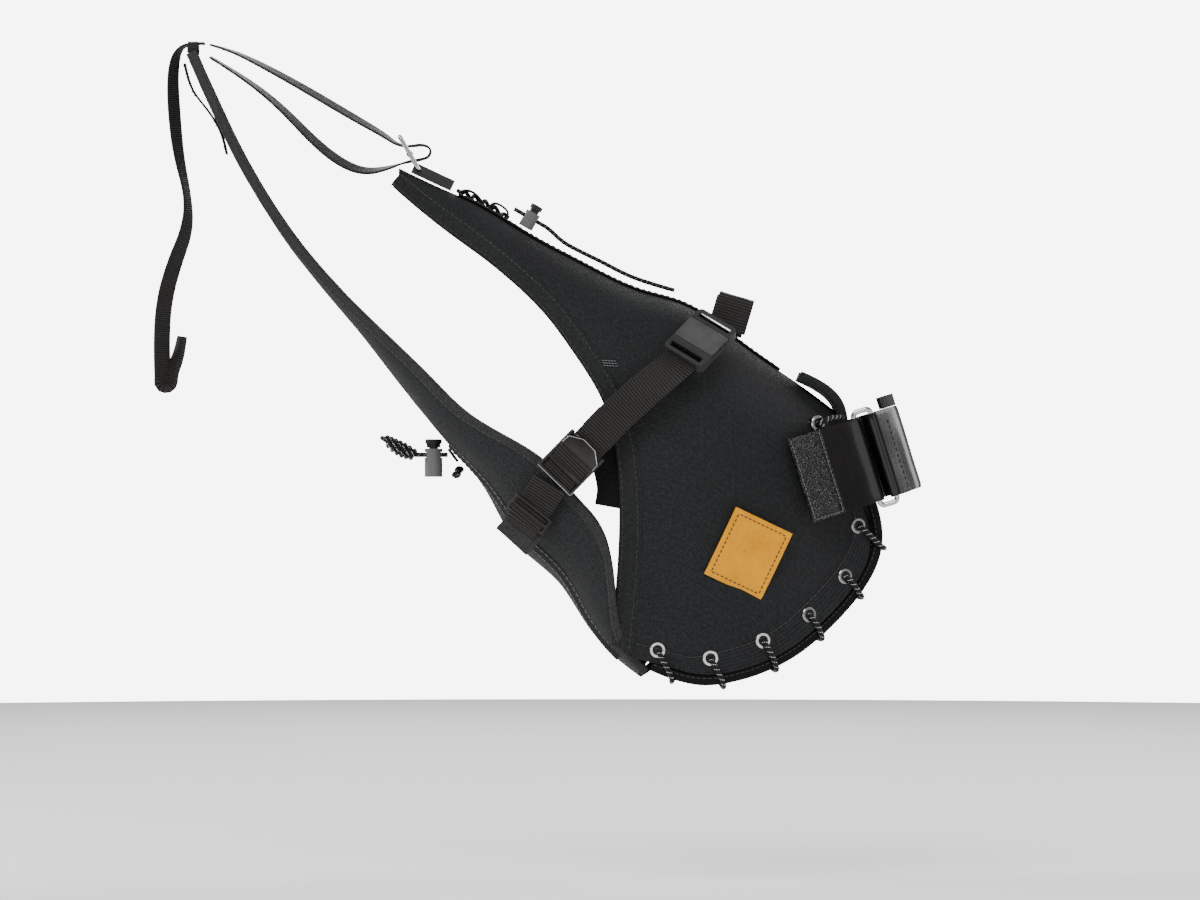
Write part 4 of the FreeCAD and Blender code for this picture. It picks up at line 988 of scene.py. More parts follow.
RIM_LINE = ((-131.0, -119.5), (-125.0, -122.0), (-103.0, -127.5), (-80.0, -124.5), (-52.0, -113.0),
            (-30.0, -96.0), (-12.0, -76.0), (-2.5, -57.0), (-1.0, -43.0), (-6.0, -22.0),
            (-12.0, -2.0), (-16.0, 10.0))
GUSSET_LINE = ((-131.0, -118.0), (-125.0, -120.0), (-103.0, -125.5), (-80.0, -122.5), (-52.6, -111.2),
               (-31.5, -94.4), (-14.0, -75.0), (-5.5, -57.0), (-5.0, -43.0), (-12.0, -22.0),
               (-18.3, -2.0), (-22.0, 10.0))
RIM_TURNS = ((-119.0, -123.8), (-91.0, -126.8), (-62.0, -118.0), (-36.5, -101.5), (-14.0, -79.0),
             (-1.5, -52.0))


def away_from_bag(run):
    """Side-view direction square to a run of the rim or gusset, away from the bag."""
    return Vector((run[1], -run[0])).normalized()


gusset_path = evened(GUSSET_LINE, 120)
gusset_runs = np.gradient(gusset_path, axis=0)
gusset_lengths = chords(gusset_path) * 0.001
outer, inner, uv = [], [], []
for (x, z), run, length in zip(gusset_path, gusset_runs, gusset_lengths):
    away = away_from_bag(run)
    reach = half_width(x) - 3.6
    rows = ([], [], [])
    for share in np.linspace(-1.0, 1.0, 41):
        y = share * reach
        sag = 0.35 * noise.noise(Vector((x / 21.0, y / 19.0, z / 21.0))) * (1.0 - share ** 4)
        for row, depth in zip(rows, (sag - 0.05, sag + 2.3)):
            row.append(mm(x - away.x * depth, y, z - away.y * depth))
        rows[2].append((float(length), y * 0.001))
    outer.append(rows[0])
    inner.append(rows[1])
    uv.append(rows[2])
build = Build()
build.slab(outer, inner, uv)
build.make("gusset_cloth", "lower", "shell_fabric", "bag_shell", "gusset_strip")

build = Build()
for share in (-0.9, 0.9):
    path = [outer[i][0].lerp(outer[i][-1], (share + 1.0) / 2.0) for i in range(len(outer))]
    outward = [(outer[i][0] - inner[i][0]).normalized() for i in range(len(outer))]
    build.stitches(path, outward)
build.make("gusset_sewing", "thread", "shell_fabric", "bag_shell")

rim_path = evened(RIM_LINE, 150)
rim_runs = np.gradient(rim_path, axis=0)
RIM_SECTION = soft_square(4.4, 5.3, 20, 3.0)
rim_lengths = chords(rim_path) * 0.001
rim_around = chords(RIM_SECTION + [RIM_SECTION[0]]) * 0.001
for name, sign in SIDES:
    rows, uv = [], []
    for (x, z), run, length in zip(rim_path, rim_runs, rim_lengths):
        away = away_from_bag(run)
        swell = 1.0 + 0.035 * noise.noise(Vector((x / 9.0, z / 9.0, sign)))
        middle = half_width(x) - 0.75
        row = []
        for a, b in RIM_SECTION:
            depth = 2.75 - b * swell
            row.append(mm(x - away.x * depth, sign * (middle + a * swell), z - away.y * depth))
        rows.append(row)
        uv.append([(float(length), float(v)) for v in rim_around])
    build = Build()
    build.tube(rows, uv)
    build.make(f"rim_binding_{name}", "piping", "binding", "bag_shell", f"rim_piping_{name}")
    build = Build()
    path, outward = [], []
    for (x, z), run in zip(rim_path, rim_runs):
        away = away_from_bag(run)
        path.append(mm(x - away.x * 4.0, sign * (half_width(x) + 1.3), z - away.y * 4.0))
        outward.append(Vector((0.0, sign, 0.0)))
    build.stitches(path, outward, long=0.0022)
    build.make(f"rim_sewing_{name}", "thread", "binding", "bag_shell")


def rim_outward(x, z):
    """Direction square to the rim, away from the bag, at its nearest stretch."""
    inner_points = range(1, len(RIM_LINE) - 1)
    nearest = min(inner_points, key=lambda i: math.hypot(RIM_LINE[i][0] - x, RIM_LINE[i][1] - z))
    ahead, behind = RIM_LINE[nearest + 1], RIM_LINE[nearest - 1]
    return Vector((ahead[1] - behind[1], 0.0, behind[0] - ahead[0])).normalized()


lace_route = []
for index, (x, z) in enumerate(EYELETS):
    outward = side_normal(x)
    at_eyelet = Vector((x, -half_width(x), z))
    lace_route.append(at_eyelet - outward * 7.5)
    lace_route.append(at_eyelet + outward * 3.2)
    if index < len(RIM_TURNS):
        turn_x, turn_z = RIM_TURNS[index]
        away = rim_outward(turn_x, turn_z)
        over = Vector((turn_x, -half_width(turn_x), turn_z))
        side_out = side_normal(turn_x)
        lace_route.append(over + side_out * 3.5 - away * 1.0)
        lace_route.append(over - side_out * 1.5 + away * 2.7)
        lace_route.append(over - side_out * 9.0 - away * 2.0)
        lace_route.append(over - side_out * 9.5 - away * 10.0)
lace_route += [Vector((-31.0, -34.5, 20.5)), Vector((-24.0, -27.0, 20.5))]
lace_line = nurbs_line([mm(*point) for point in lace_route], 12)
for name, line in (("right", lace_line), ("left", flipped(lace_line))):
    build = Build()
    build.sweep(line, Vector((0.3, 0.2, 1.0)), round_profile(0.00145))
    build.make(f"lace_{name}", "braid", "elastic_cord", "bag_shell", f"lacing_{name}")

# ---------------------------------------------------------------- flap, ridge webbing and loops


def loop(name, points, wide, body, node, across=ACROSS, count=30):
    """A loop of narrow webbing along a smooth line; gives back the line."""
    line = smooth(points, count)
    made = Build()
    made.sweep(line, across, flat_profile(wide, NARROW_THICK))
    made.make(name, "narrow", "webbing", body, node)
    return line


flap_line = smooth(side(((-22.9, 13.8), (-26.2, 28.6), (-35.5, 37.6), (-47.5, 43.6))), 40)
build = Build()
build.sweep(flap_line, ACROSS, flat_profile(0.040, 0.0042))
build.make("front_flap", "shell", "binding", "bag_shell", "gusset_flap")
build = Build()
for y in (-0.0195, 0.0195):
    edge_path = [p + ACROSS * y for p in flap_line]
    build.sweep(edge_path, ACROSS, soft_square(0.0036, 0.0056, 12, 2.6))
build.make("flap_binding", "binding", "binding", "bag_shell")
build = Build()
flap_ups = [up for _, _, up in frames(flap_line, ACROSS)]
for y in (-0.0172, 0.0172):
    build.stitches([p + ACROSS * y + up * 0.0021 for p, up in zip(flap_line, flap_ups)], flap_ups)
build.make("flap_sewing", "thread", "binding", "bag_shell")

ridge_line = [mm(x, 0.0, ridge_height(x) + 0.8) for x in np.linspace(-238.0, -58.0, 90)]
build = Build()
build.sweep(ridge_line, ACROSS, flat_profile(0.015, 0.0013))
build.make("ridge_webbing", "narrow", "webbing", "bag_shell", "spine_webbing")
build = Build()
ridge_up = Vector((0.3, 0.0, 1.0))
for y in (-6.0, 6.0):
    build.stitches([p + mm(0.0, y, 0.7) for p in ridge_line], [ridge_up] * len(ridge_line))
build.make("ridge_sewing", "thread", "webbing", "bag_shell")
SPINE_ARCH = ((-238.5, 146.4), (-234.0, 147.8), (-228.0, 145.2), (-223.5, 139.0))
loop("ridge_loop", side(SPINE_ARCH), NARROW_WIDE, "bag_shell", "spine_loop")
BUNGEE_ARCH = ((-221.5, 137.6), (-218.5, 140.4), (-213.5, 138.8), (-210.5, 135.2), (-211.5, 131.6))
loop("ridge_bungee_loop", side(BUNGEE_ARCH), 0.008, "bag_shell", "bungee_loop")

# The cord's hitched end, wound through the two loops on the ridge.
hitch = []
for t in np.linspace(0.0, 1.0, 110):
    x = -210.5 - 28.0 * t
    spread = math.sqrt(max(0.0, math.sin(math.pi * t)))
    turn = 10.0 * math.pi * t
    hitch.append(mm(x, 2.4 * spread * math.cos(turn), ridge_height(x) + 2.9 + 1.5 * spread * math.sin(turn)))
build = Build()
build.sweep(hitch, Vector((0.3, 1.0, 0.2)), round_profile(0.00125, 8))
build.make("ridge_hitch", "bungee", "elastic_cord", "bag_shell")

# ---------------------------------------------------------------- lower panel

# Place and height of the panel's edge, its depth below the edge and its half width.
KEEL_STATIONS = (
    (-136.5, -124.5, 7.0, 49.0), (-150.0, -114.0, 10.0, 50.5), (-166.0, -96.0, 20.0, 54.5),
    (-183.0, -71.0, 36.0, 56.0), (-205.0, -51.0, 42.0, 56.0), (-222.0, -22.0, 35.0, 52.0),
    (-246.0, 8.0, 20.0, 44.0), (-266.5, 33.0, 15.5, 38.0), (-293.0, 67.0, 9.5, 30.0),
    (-327.0, 108.0, 6.0, 23.0), (-361.0, 162.0, 4.2, 17.0), (-389.0, 224.0, 3.2, 12.0),
)
KEEL_KNOTS = chords([(x, z) for x, z, _, _ in KEEL_STATIONS])
KEEL_AT = cubic(KEEL_KNOTS, KEEL_STATIONS)
KEEL_COUNT, ACROSS_COUNT = 130, 37


def keel_inward(index):
    """Side-view direction square to the edge line at a station, into the panel's depth."""
    before = KEEL_STATIONS[max(index - 1, 0)]
    after = KEEL_STATIONS[min(index + 1, len(KEEL_STATIONS) - 1)]
    run = Vector((after[0] - before[0], after[1] - before[1])).normalized()
    return (run.y, -run.x)


INWARD_AT = cubic(KEEL_KNOTS, [keel_inward(index) for index in range(len(KEEL_STATIONS))])
keel_where = np.linspace(0.0, KEEL_KNOTS[-1], KEEL_COUNT)


def keel_point(where, share, inset, slack=1.0):
    """Point of the lower panel, in metres; share runs from -1 at the right edge to 1 at the left."""
    x, z, depth, half = KEEL_AT(where)[0]
    ix, iz = INWARD_AT(where)[0]
    angle = share * math.pi / 2.0
    across = math.copysign(abs(math.sin(angle)) ** 0.8, angle) * (half - inset)
    rise = inset + (depth - inset) * (1.0 - abs(math.cos(angle)) ** 0.8)
    broad = noise.noise(Vector((where / 34.0, share * 2.5, 1.0)))
    fine = noise.noise(Vector((where / 11.0, share * 8.0, 5.0)))
    rise += (0.3 * broad + 0.08 * fine) * slack
    return mm(x + ix * rise, across, z + iz * rise)


def keel_grids(near, far):
    """Both faces of a sheet of the lower panel between two depths, with its UVs."""
    outer, inner, uv = [], [], []
    for where in keel_where:
        half = float(KEEL_AT(where)[0, 3])
        shares = np.linspace(-1.0, 1.0, ACROSS_COUNT)
        outer.append([keel_point(where, share, near) for share in shares])
        inner.append([keel_point(where, share, far) for share in shares])
        uv.append([(where * 0.001, share * half * 0.0014) for share in shares])
    return outer, inner, uv


build = Build()
build.slab(*keel_grids(0.0, 1.15))
build.make("keel_cloth", "lower", "shell_fabric", "lower_panel", "lower_panel_fabric")
build = Build()
build.slab(*keel_grids(1.2, 2.6))
build.make("keel_lining", "lining", "lining_fabric", "lower_panel", "lower_panel_lining",
           "lower_panel_stiffener")

# Bound edges down both sides.
EDGE_SECTION = ((4.6, -0.05), (4.4, -0.4), (2.0, -0.5), (0.0, -0.45), (-0.6, 0.5), (-0.75, 1.3), (-0.6, 2.1),
                (0.0, 3.0), (2.0, 3.1), (4.4, 3.0), (4.6, 2.65))
edge_around = chords(list(EDGE_SECTION) + [EDGE_SECTION[0]]) * 0.001
for name, sign in SIDES:
    rows, uv = [], []
    for where in keel_where:
        edge = keel_point(where, sign, 0.0)
        half = float(KEEL_AT(where)[0, 3])
        step = 3.0 / (half * 1.35)
        within = keel_point(where, sign * (1.0 - step), 0.0)
        inside = keel_point(where, sign, 2.6)
        inward = (within - edge).normalized()
        thick = inside - edge
        thick = thick - inward * thick.dot(inward)
        thick = thick.normalized() if thick.length > 1e-6 else Vector((0.0, -sign, 0.0))
        rows.append([edge + inward * (a * 0.001) + thick * (b * 0.001) for a, b in EDGE_SECTION])
        uv.append([(float(where) * 0.001, float(v)) for v in edge_around])
    build = Build()
    build.tube(rows, uv)
    build.make(f"keel_binding_{name}", "grey_binding", "binding", "lower_panel")
    build = Build()
    path = [row[1].lerp(row[2], 0.25) for row in rows]
    outward = [keel_point(where, sign * 0.96, -1.0, 0.0) - keel_point(where, sign * 0.96, 0.0, 0.0)
               for where in keel_where]
    build.stitches(path, outward, long=0.0024)
    build.make(f"keel_sewing_{name}", "thread", "binding", "lower_panel")


def keel_run(points, count):
    """A line on the outside of the lower panel through places given along it and across it."""
    found, outward = [], []
    for where, share in evened(points, count):
        found.append(keel_point(where, share, -0.45))
        raised = keel_point(where, share, -1.5, 0.0)
        outward.append((raised - keel_point(where, share, 0.0, 0.0)).normalized())
    return found, outward


# Binding strip and seam from the cord's end of the keel to the lower corner of each wing.
for name, sign in SIDES:
    points = ((KEEL_KNOTS[6] - 4.0, sign * 0.22), (KEEL_KNOTS[5], sign * 0.34), (KEEL_KNOTS[4], sign * 0.42),
              (KEEL_KNOTS[3], sign * 0.40), (KEEL_KNOTS[2], sign * 0.42), (KEEL_KNOTS[1], sign * 0.55))
    path, outward = keel_run(points, 70)
    following = path[1:] + [path[-1] * 2 - path[-2]]
    sideways = [(b - a).cross(up).normalized() for a, b, up in zip(path, following, outward)]
    build = Build()
    build.sweep(path, sideways, flat_profile(0.0062, 0.0008))
    build.make(f"keel_strip_{name}", "binding", "binding", "lower_panel")
    build = Build()
    for offset in (-0.0023, 0.0023):
        build.stitches([p + s * offset + up * 0.0005 for p, s, up in zip(path, sideways, outward)], outward)
    build.make(f"keel_strip_sewing_{name}", "pale_thread", "binding", "lower_panel")

# Cloth fold that joins the gusset to the lower panel.
fold_rows = ([], [], [])
fold_start = Vector((-130.6, 0.0, -119.3))
fold_end = Vector((-137.6, 0.0, -122.6))
fold_shares = np.linspace(-1.0, 1.0, 40)
for t in np.linspace(0.0, 1.0, 14):
    middle = fold_start.lerp(fold_end, t) + Vector((-0.25, 0.0, -1.0)) * (1.1 * math.sin(math.pi * t))
    for row, lift in zip(fold_rows[:2], (0.0, 1.1)):
        width = 46.5 - 0.6 * math.sin(math.pi * t)
        row.append([mm(middle.x + 0.3 * lift, share * width,
                       middle.z + lift + 0.25 * noise.noise(Vector((share * 6.0, t * 2.0, 4.0))))
                    for share in fold_shares])
    fold_rows[2].append([(t * 0.009, share * 0.0465) for share in fold_shares])
build = Build()
build.slab(*fold_rows)
hinge_fold = build.make("hinge_fold", "lower", "shell_fabric", None)
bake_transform(hinge_fold)

# Light loops and the tail's own loop.
LIGHT_ROUTE = ((-391.8, 218.8), (-386.8, 203.4), (-380.6, 195.0), (-371.0, 179.0), (-368.2, 168.2))
light_line = loop("light_tape", side(LIGHT_ROUTE), NARROW_WIDE, "lower_panel", "light_loops", count=50)
build = Build()
for share in (0.04, 0.3, 0.34, 0.66, 0.7, 0.95):
    bar_tack(build, light_line, ACROSS, share, 0.0042, 0.0004)
build.make("light_tacks", "pale_thread", "webbing", "lower_panel")
TAIL_LOOP = ((-387.0, -6.5, 224.5), (-387.0, -6.0, 228.4), (-387.0, 6.0, 228.4), (-387.0, 6.5, 224.5))
loop("tail_tape", [mm(*point) for point in TAIL_LOOP], 0.006, "lower_panel", "tail_loop",
     across=Vector((1.0, 0.0, 0.0)), count=40)

# ---------------------------------------------------------------- seatpost strap

# The seatpost leans back; its strap's places are given in the plane square to it.
TILT = Matrix.Rotation(math.radians(-17.3), 4, "Y")
UP_POST = TILT.to_3x3() @ Vector((0.0, 0.0, 1.0))
STRAP_RADIUS = 14.6
POST_STRAP_WIDE = 0.048
RING_SIDE = -25.5
BAR_FRONT, BAR_REAR = -0.9, -10.9
BAR_CLEAR = 2.55


def round_bar(centre, begin, finish, radius, count=12):
    """Points in the plane square to the post, round a centre, with angles in degrees."""
    angles = [math.radians(a) for a in np.linspace(begin, finish, count)]
    return [(centre[0] + radius * math.cos(a), centre[1] + radius * math.sin(a)) for a in angles]


def between(first, last, shares):
    """Points on the straight run from one place to another, at shares of it."""
    return [(first[0] + (last[0] - first[0]) * t, first[1] + (last[1] - first[1]) * t) for t in shares]


def post_line(points):
    """Points of the plane square to the post, in metres."""
    return [TILT @ mm(x, y, 0.0) for x, y in points]


reach = math.hypot(BAR_FRONT, RING_SIDE)
swing = math.acos((STRAP_RADIUS + BAR_CLEAR) / reach)
aim = math.atan2(RING_SIDE, BAR_FRONT) + swing
aim_degrees = math.degrees(aim)
bar = (BAR_FRONT, RING_SIDE)
square = (math.cos(aim), math.sin(aim))
run = (-square[1], square[0])
outer_end = (bar[0] + square[0] * BAR_CLEAR, bar[1] + square[1] * BAR_CLEAR)
inner_end = (bar[0] - square[0] * BAR_CLEAR, bar[1] - square[1] * BAR_CLEAR)
touch = (square[0] * STRAP_RADIUS, square[1] * STRAP_RADIUS)
lap = [(outer_end[0] + run[0] * t, outer_end[1] + run[1] * t) for t in np.linspace(9.0, 0.4, 8)]
half_turn = round_bar(bar, aim_degrees, aim_degrees - 180.0, BAR_CLEAR, 16)
inward_run = between(inner_end, touch, np.linspace(0.06, 0.94, 10))
front = round_bar((0.0, 0.0), aim_degrees, -aim_degrees, STRAP_RADIUS, 34)
leave = (touch[0], -touch[1])
far_end = (inner_end[0], -inner_end[1])
outward_run = between(leave, far_end, np.linspace(0.06, 1.0, 10))
sewn = between(far_end, (-27.0, 31.5), np.linspace(0.08, 1.0, 18))
strap_points = lap + half_turn + inward_run + front + outward_run + sewn
strap_line = post_line(strap_points)


def wide_strap(name, line, wide, thick, node, body="bag_shell"):
    """A broad coated strap standing along the post, slightly rippled; gives back its frames."""
    found = frames(line, UP_POST)
    lengths = chords(line)
    shares = np.linspace(-0.5, 0.5, 25)
    outer_rows, inner_rows, uv = [], [], []
    for i, (point, (_, sideways, up)) in enumerate(zip(line, found)):
        outer_row, inner_row, uv_row = [], [], []
        for share in shares:
            edge = abs(share) * 2.0
            thin = thick / 2.0 * (1.0 - 0.55 * max(0.0, edge - 0.93) / 0.07)
            wave = 0.00018 * noise.noise(Vector((float(lengths[i]) * 90.0, share * 3.0, 2.0)))
            outer_row.append(point + sideways * (share * wide) + up * (thin + wave))
            inner_row.append(point + sideways * (share * wide) - up * (thin - wave * 0.6))
            uv_row.append((float(lengths[i]), share * wide))
        outer_rows.append(outer_row)
        inner_rows.append(inner_row)
        uv.append(uv_row)
    made = Build()
    made.slab(outer_rows, inner_rows, uv)
    made.make(name, "coated", "coated_strap", body, node)
    return found


wrap_ups = [up for _, _, up in wide_strap("post_wrap", strap_line, POST_STRAP_WIDE, 0.0018, "post_strap")]
build = Build()
lap_ups = wrap_ups[:7]
for share in (-0.45, 0.45):
    path = [p + UP_POST * (share * POST_STRAP_WIDE) + up * -0.00095 for p, up in zip(strap_line, lap_ups)]
    build.stitches(path, [-up for up in lap_ups], long=0.0024)
row = [strap_line[1] + UP_POST * (t * 0.021) - wrap_ups[1] * 0.00095 for t in np.linspace(-1, 1, 24)]
build.stitches(row, [-wrap_ups[1]] * 24, long=0.0024)
build.make("post_wrap_sewing", "thread", "coated_strap", "bag_shell")

BASE_PLY = ((-16.1, -26.7), (-21.0, -29.5), (-31.0, -35.5), (-40.0, -40.2))
base_line = smooth(post_line(BASE_PLY), 30)
wide_strap("post_base_ply", base_line, 0.046, 0.0014, "post_strap_base")

tab_reach = BAR_CLEAR + 0.1
tab_turn = round_bar((BAR_REAR, RING_SIDE), 12.0, -90.0, tab_reach, 12)
tab_points = tab_turn + [(-14.0, -28.9), (-18.0, -30.6), (-22.0, -32.6), (-28.0, -35.9), (-34.0, -39.4),
                         (-40.0, -42.9), (-45.5, -46.2), (-50.5, -49.0)]
tab_line = smooth(post_line(tab_points), 70)
wide_strap("pull_tab", tab_line, POST_STRAP_WIDE, 0.0014, "strap_tab", body="strap_tab")

# Hook tape on the tab's end, with its selvedge and a row of stitches.
tape_origin = TILT @ Vector((-40.9, -45.0, 0.0))
tape_along = TILT.to_3x3() @ Vector((-16.5, -9.5, 0.0))
tape_outward = TILT.to_3x3() @ Vector((9.5, -16.5, 0.0))
tape_place = placing(tape_origin, tape_along, tape_outward)
TAPE_LONG, TAPE_WIDE = 0.011, 0.024
hook_rows, hook_under, hook_uv = [], [], []
for a in np.linspace(-TAPE_LONG, TAPE_LONG, 46):
    top, under, uv_row = [], [], []
    for b in np.linspace(-TAPE_WIDE, TAPE_WIDE, 92):
        rim = max(abs(a) / TAPE_LONG, abs(b) / TAPE_WIDE)
        flat = 1.0 if rim < 0.93 else 0.2
        rough = 0.00022 * (noise.noise(Vector((a * 1900.0, b * 1900.0, 1.0))) + 0.4) * flat
        rag = 0.00022 * noise.noise(Vector((a * 700.0, b * 700.0, 9.0))) if rim > 0.97 else 0.0
        top.append(tape_place @ Vector((a + rag, b + rag, 0.0005 + rough)))
        under.append(tape_place @ Vector((a + rag, b + rag, -0.0006)))
        uv_row.append((float(a), float(b)))
    hook_rows.append(top)
    hook_under.append(under)
    hook_uv.append(uv_row)
build = Build()
build.slab(hook_rows, hook_under, hook_uv)
build.make("hook_field", "hooks", "hook_tape", "strap_tab", "strap_hook_tape", crease=60.0)
build = Build()
for a in (-0.0094, 0.0098):
    path = [tape_place @ Vector((a, b, 0.00075)) for b in np.linspace(-0.0232, 0.0232, 30)]
    build.stitches(path, [tape_outward.normalized()] * 30, long=0.0021, gap=0.0006, radius=0.0002)
path = [tape_place @ Vector((a, 0.0228, 0.00075)) for a in np.linspace(-0.010, 0.010, 12)]
build.stitches(path, [tape_outward.normalized()] * 12, long=0.0018, gap=0.0006, radius=0.0002)
build.make("hook_sewing", "pale_thread", "hook_tape", "strap_tab")


def post_sheet(angles, heights, outer, inner, reach, ridge=0.0):
    """A sheet curved round the post between two radii, with ridges of a given height along it."""
    sheet = ([], [], [])
    for angle in angles:
        a = math.radians(angle)
        for row, radius in zip(sheet, (outer + ridge * math.sin(angle * 1.7), inner)):
            row.append([TILT @ mm(radius * math.cos(a), radius * math.sin(a), h) for h in heights])
        sheet[2].append([(a * reach, h * 0.001) for h in heights])
    return sheet


# Ribbed pad behind the post.
build = Build()
pad_angles = np.linspace(118.0, 242.0, 46)
build.slab(*post_sheet(pad_angles, np.linspace(-23.0, 23.0, 24), 15.75, 13.62, 0.0158, 0.16))
build.make("grip_pad", "grip", "grip_rubber", "bag_shell", "post_pad")

# Facing that shows above the strap on the front of the post.
build = Build()
build.slab(*post_sheet(np.linspace(-64.0, 64.0, 40), np.linspace(24.3, 31.0, 8), 15.1, 13.75, 0.015))
build.make("strap_facing", "narrow", "webbing", "bag_shell")

# ---------------------------------------------------------------- rail straps and their fittings

LOCK_AT, LOCK_ALONG, LOCK_OUT = (-174.5, -63.5, -4.5), (0.7, 0.0, 0.714), (0.0, -1.0, 0.0)
BUCKLE_AT, BUCKLE_ALONG, BUCKLE_OUT = (-103.5, -53.5, 62.5), (0.62, 0.487, 0.62), (0.0, -0.79, 0.62)
SLIDER_AT, SLIDER_ALONG, SLIDER_OUT = (-197.5, -61.5, -33.0), (0.62, -0.06, 0.78), (0.0, -1.0, 0.0)
RAIL_AT, RAIL_ALONG, RAIL_OUT = (-84.0, -32.0, 83.0), (-0.958, 0.0, 0.286), (0.286, 0.0, 0.958)
LOCK = placing(LOCK_AT, LOCK_ALONG, LOCK_OUT)
BUCKLE = placing(BUCKLE_AT, BUCKLE_ALONG, BUCKLE_OUT)
SLIDER = placing(SLIDER_AT, SLIDER_ALONG, SLIDER_OUT)
RAIL = placing(RAIL_AT, RAIL_ALONG, RAIL_OUT)


def local(matrix, *points):
    """Points given in millimetres in a fitting's own frame."""
    return [matrix @ mm(*point) for point in points]


SELVEDGE = [0.41, 0.44, 0.47, 0.488, 0.5]
WEB_SHARES = [-share for share in reversed(SELVEDGE)] + list(np.linspace(-0.37, 0.37, 12)) + SELVEDGE


def selvedge(edge):
    """Relative thickness of wide webbing at a share of its width from the middle."""
    return 0.35 if edge > 0.495 else 0.85 if edge > 0.48 else 1.0 if edge > 0.43 else 0.9


def web(name, points, across, body, *nodes, count=70, wide=0.020, thick=0.0016, material="webbing",
        waver=0.00012):
    """Wide webbing along a smooth line: a ribbed field with a firm rolled selvedge on both sides."""
    line = smooth(points, count)
    found = frames(line, across)
    lengths = chords(line)
    top, under, uv = [], [], []
    for i, (point, (_, side_way, up)) in enumerate(zip(line, found)):
        rows = ([], [], [])
        for share in WEB_SHARES:
            high = thick / 2.0 * selvedge(abs(share))
            drift = waver * noise.noise(Vector((float(lengths[i]) * 70.0, share * 2.0, len(name) * 1.0)))
            rows[0].append(point + side_way * (share * wide) + up * (high + drift))
            rows[1].append(point + side_way * (share * wide) - up * (high - drift))
            rows[2].append((float(lengths[i]), share * wide))
        top.append(rows[0])
        under.append(rows[1])
        uv.append(rows[2])
    made = Build()
    made.slab(top, under, uv)
    return made.make(name, material, "webbing", body, *nodes), line, found


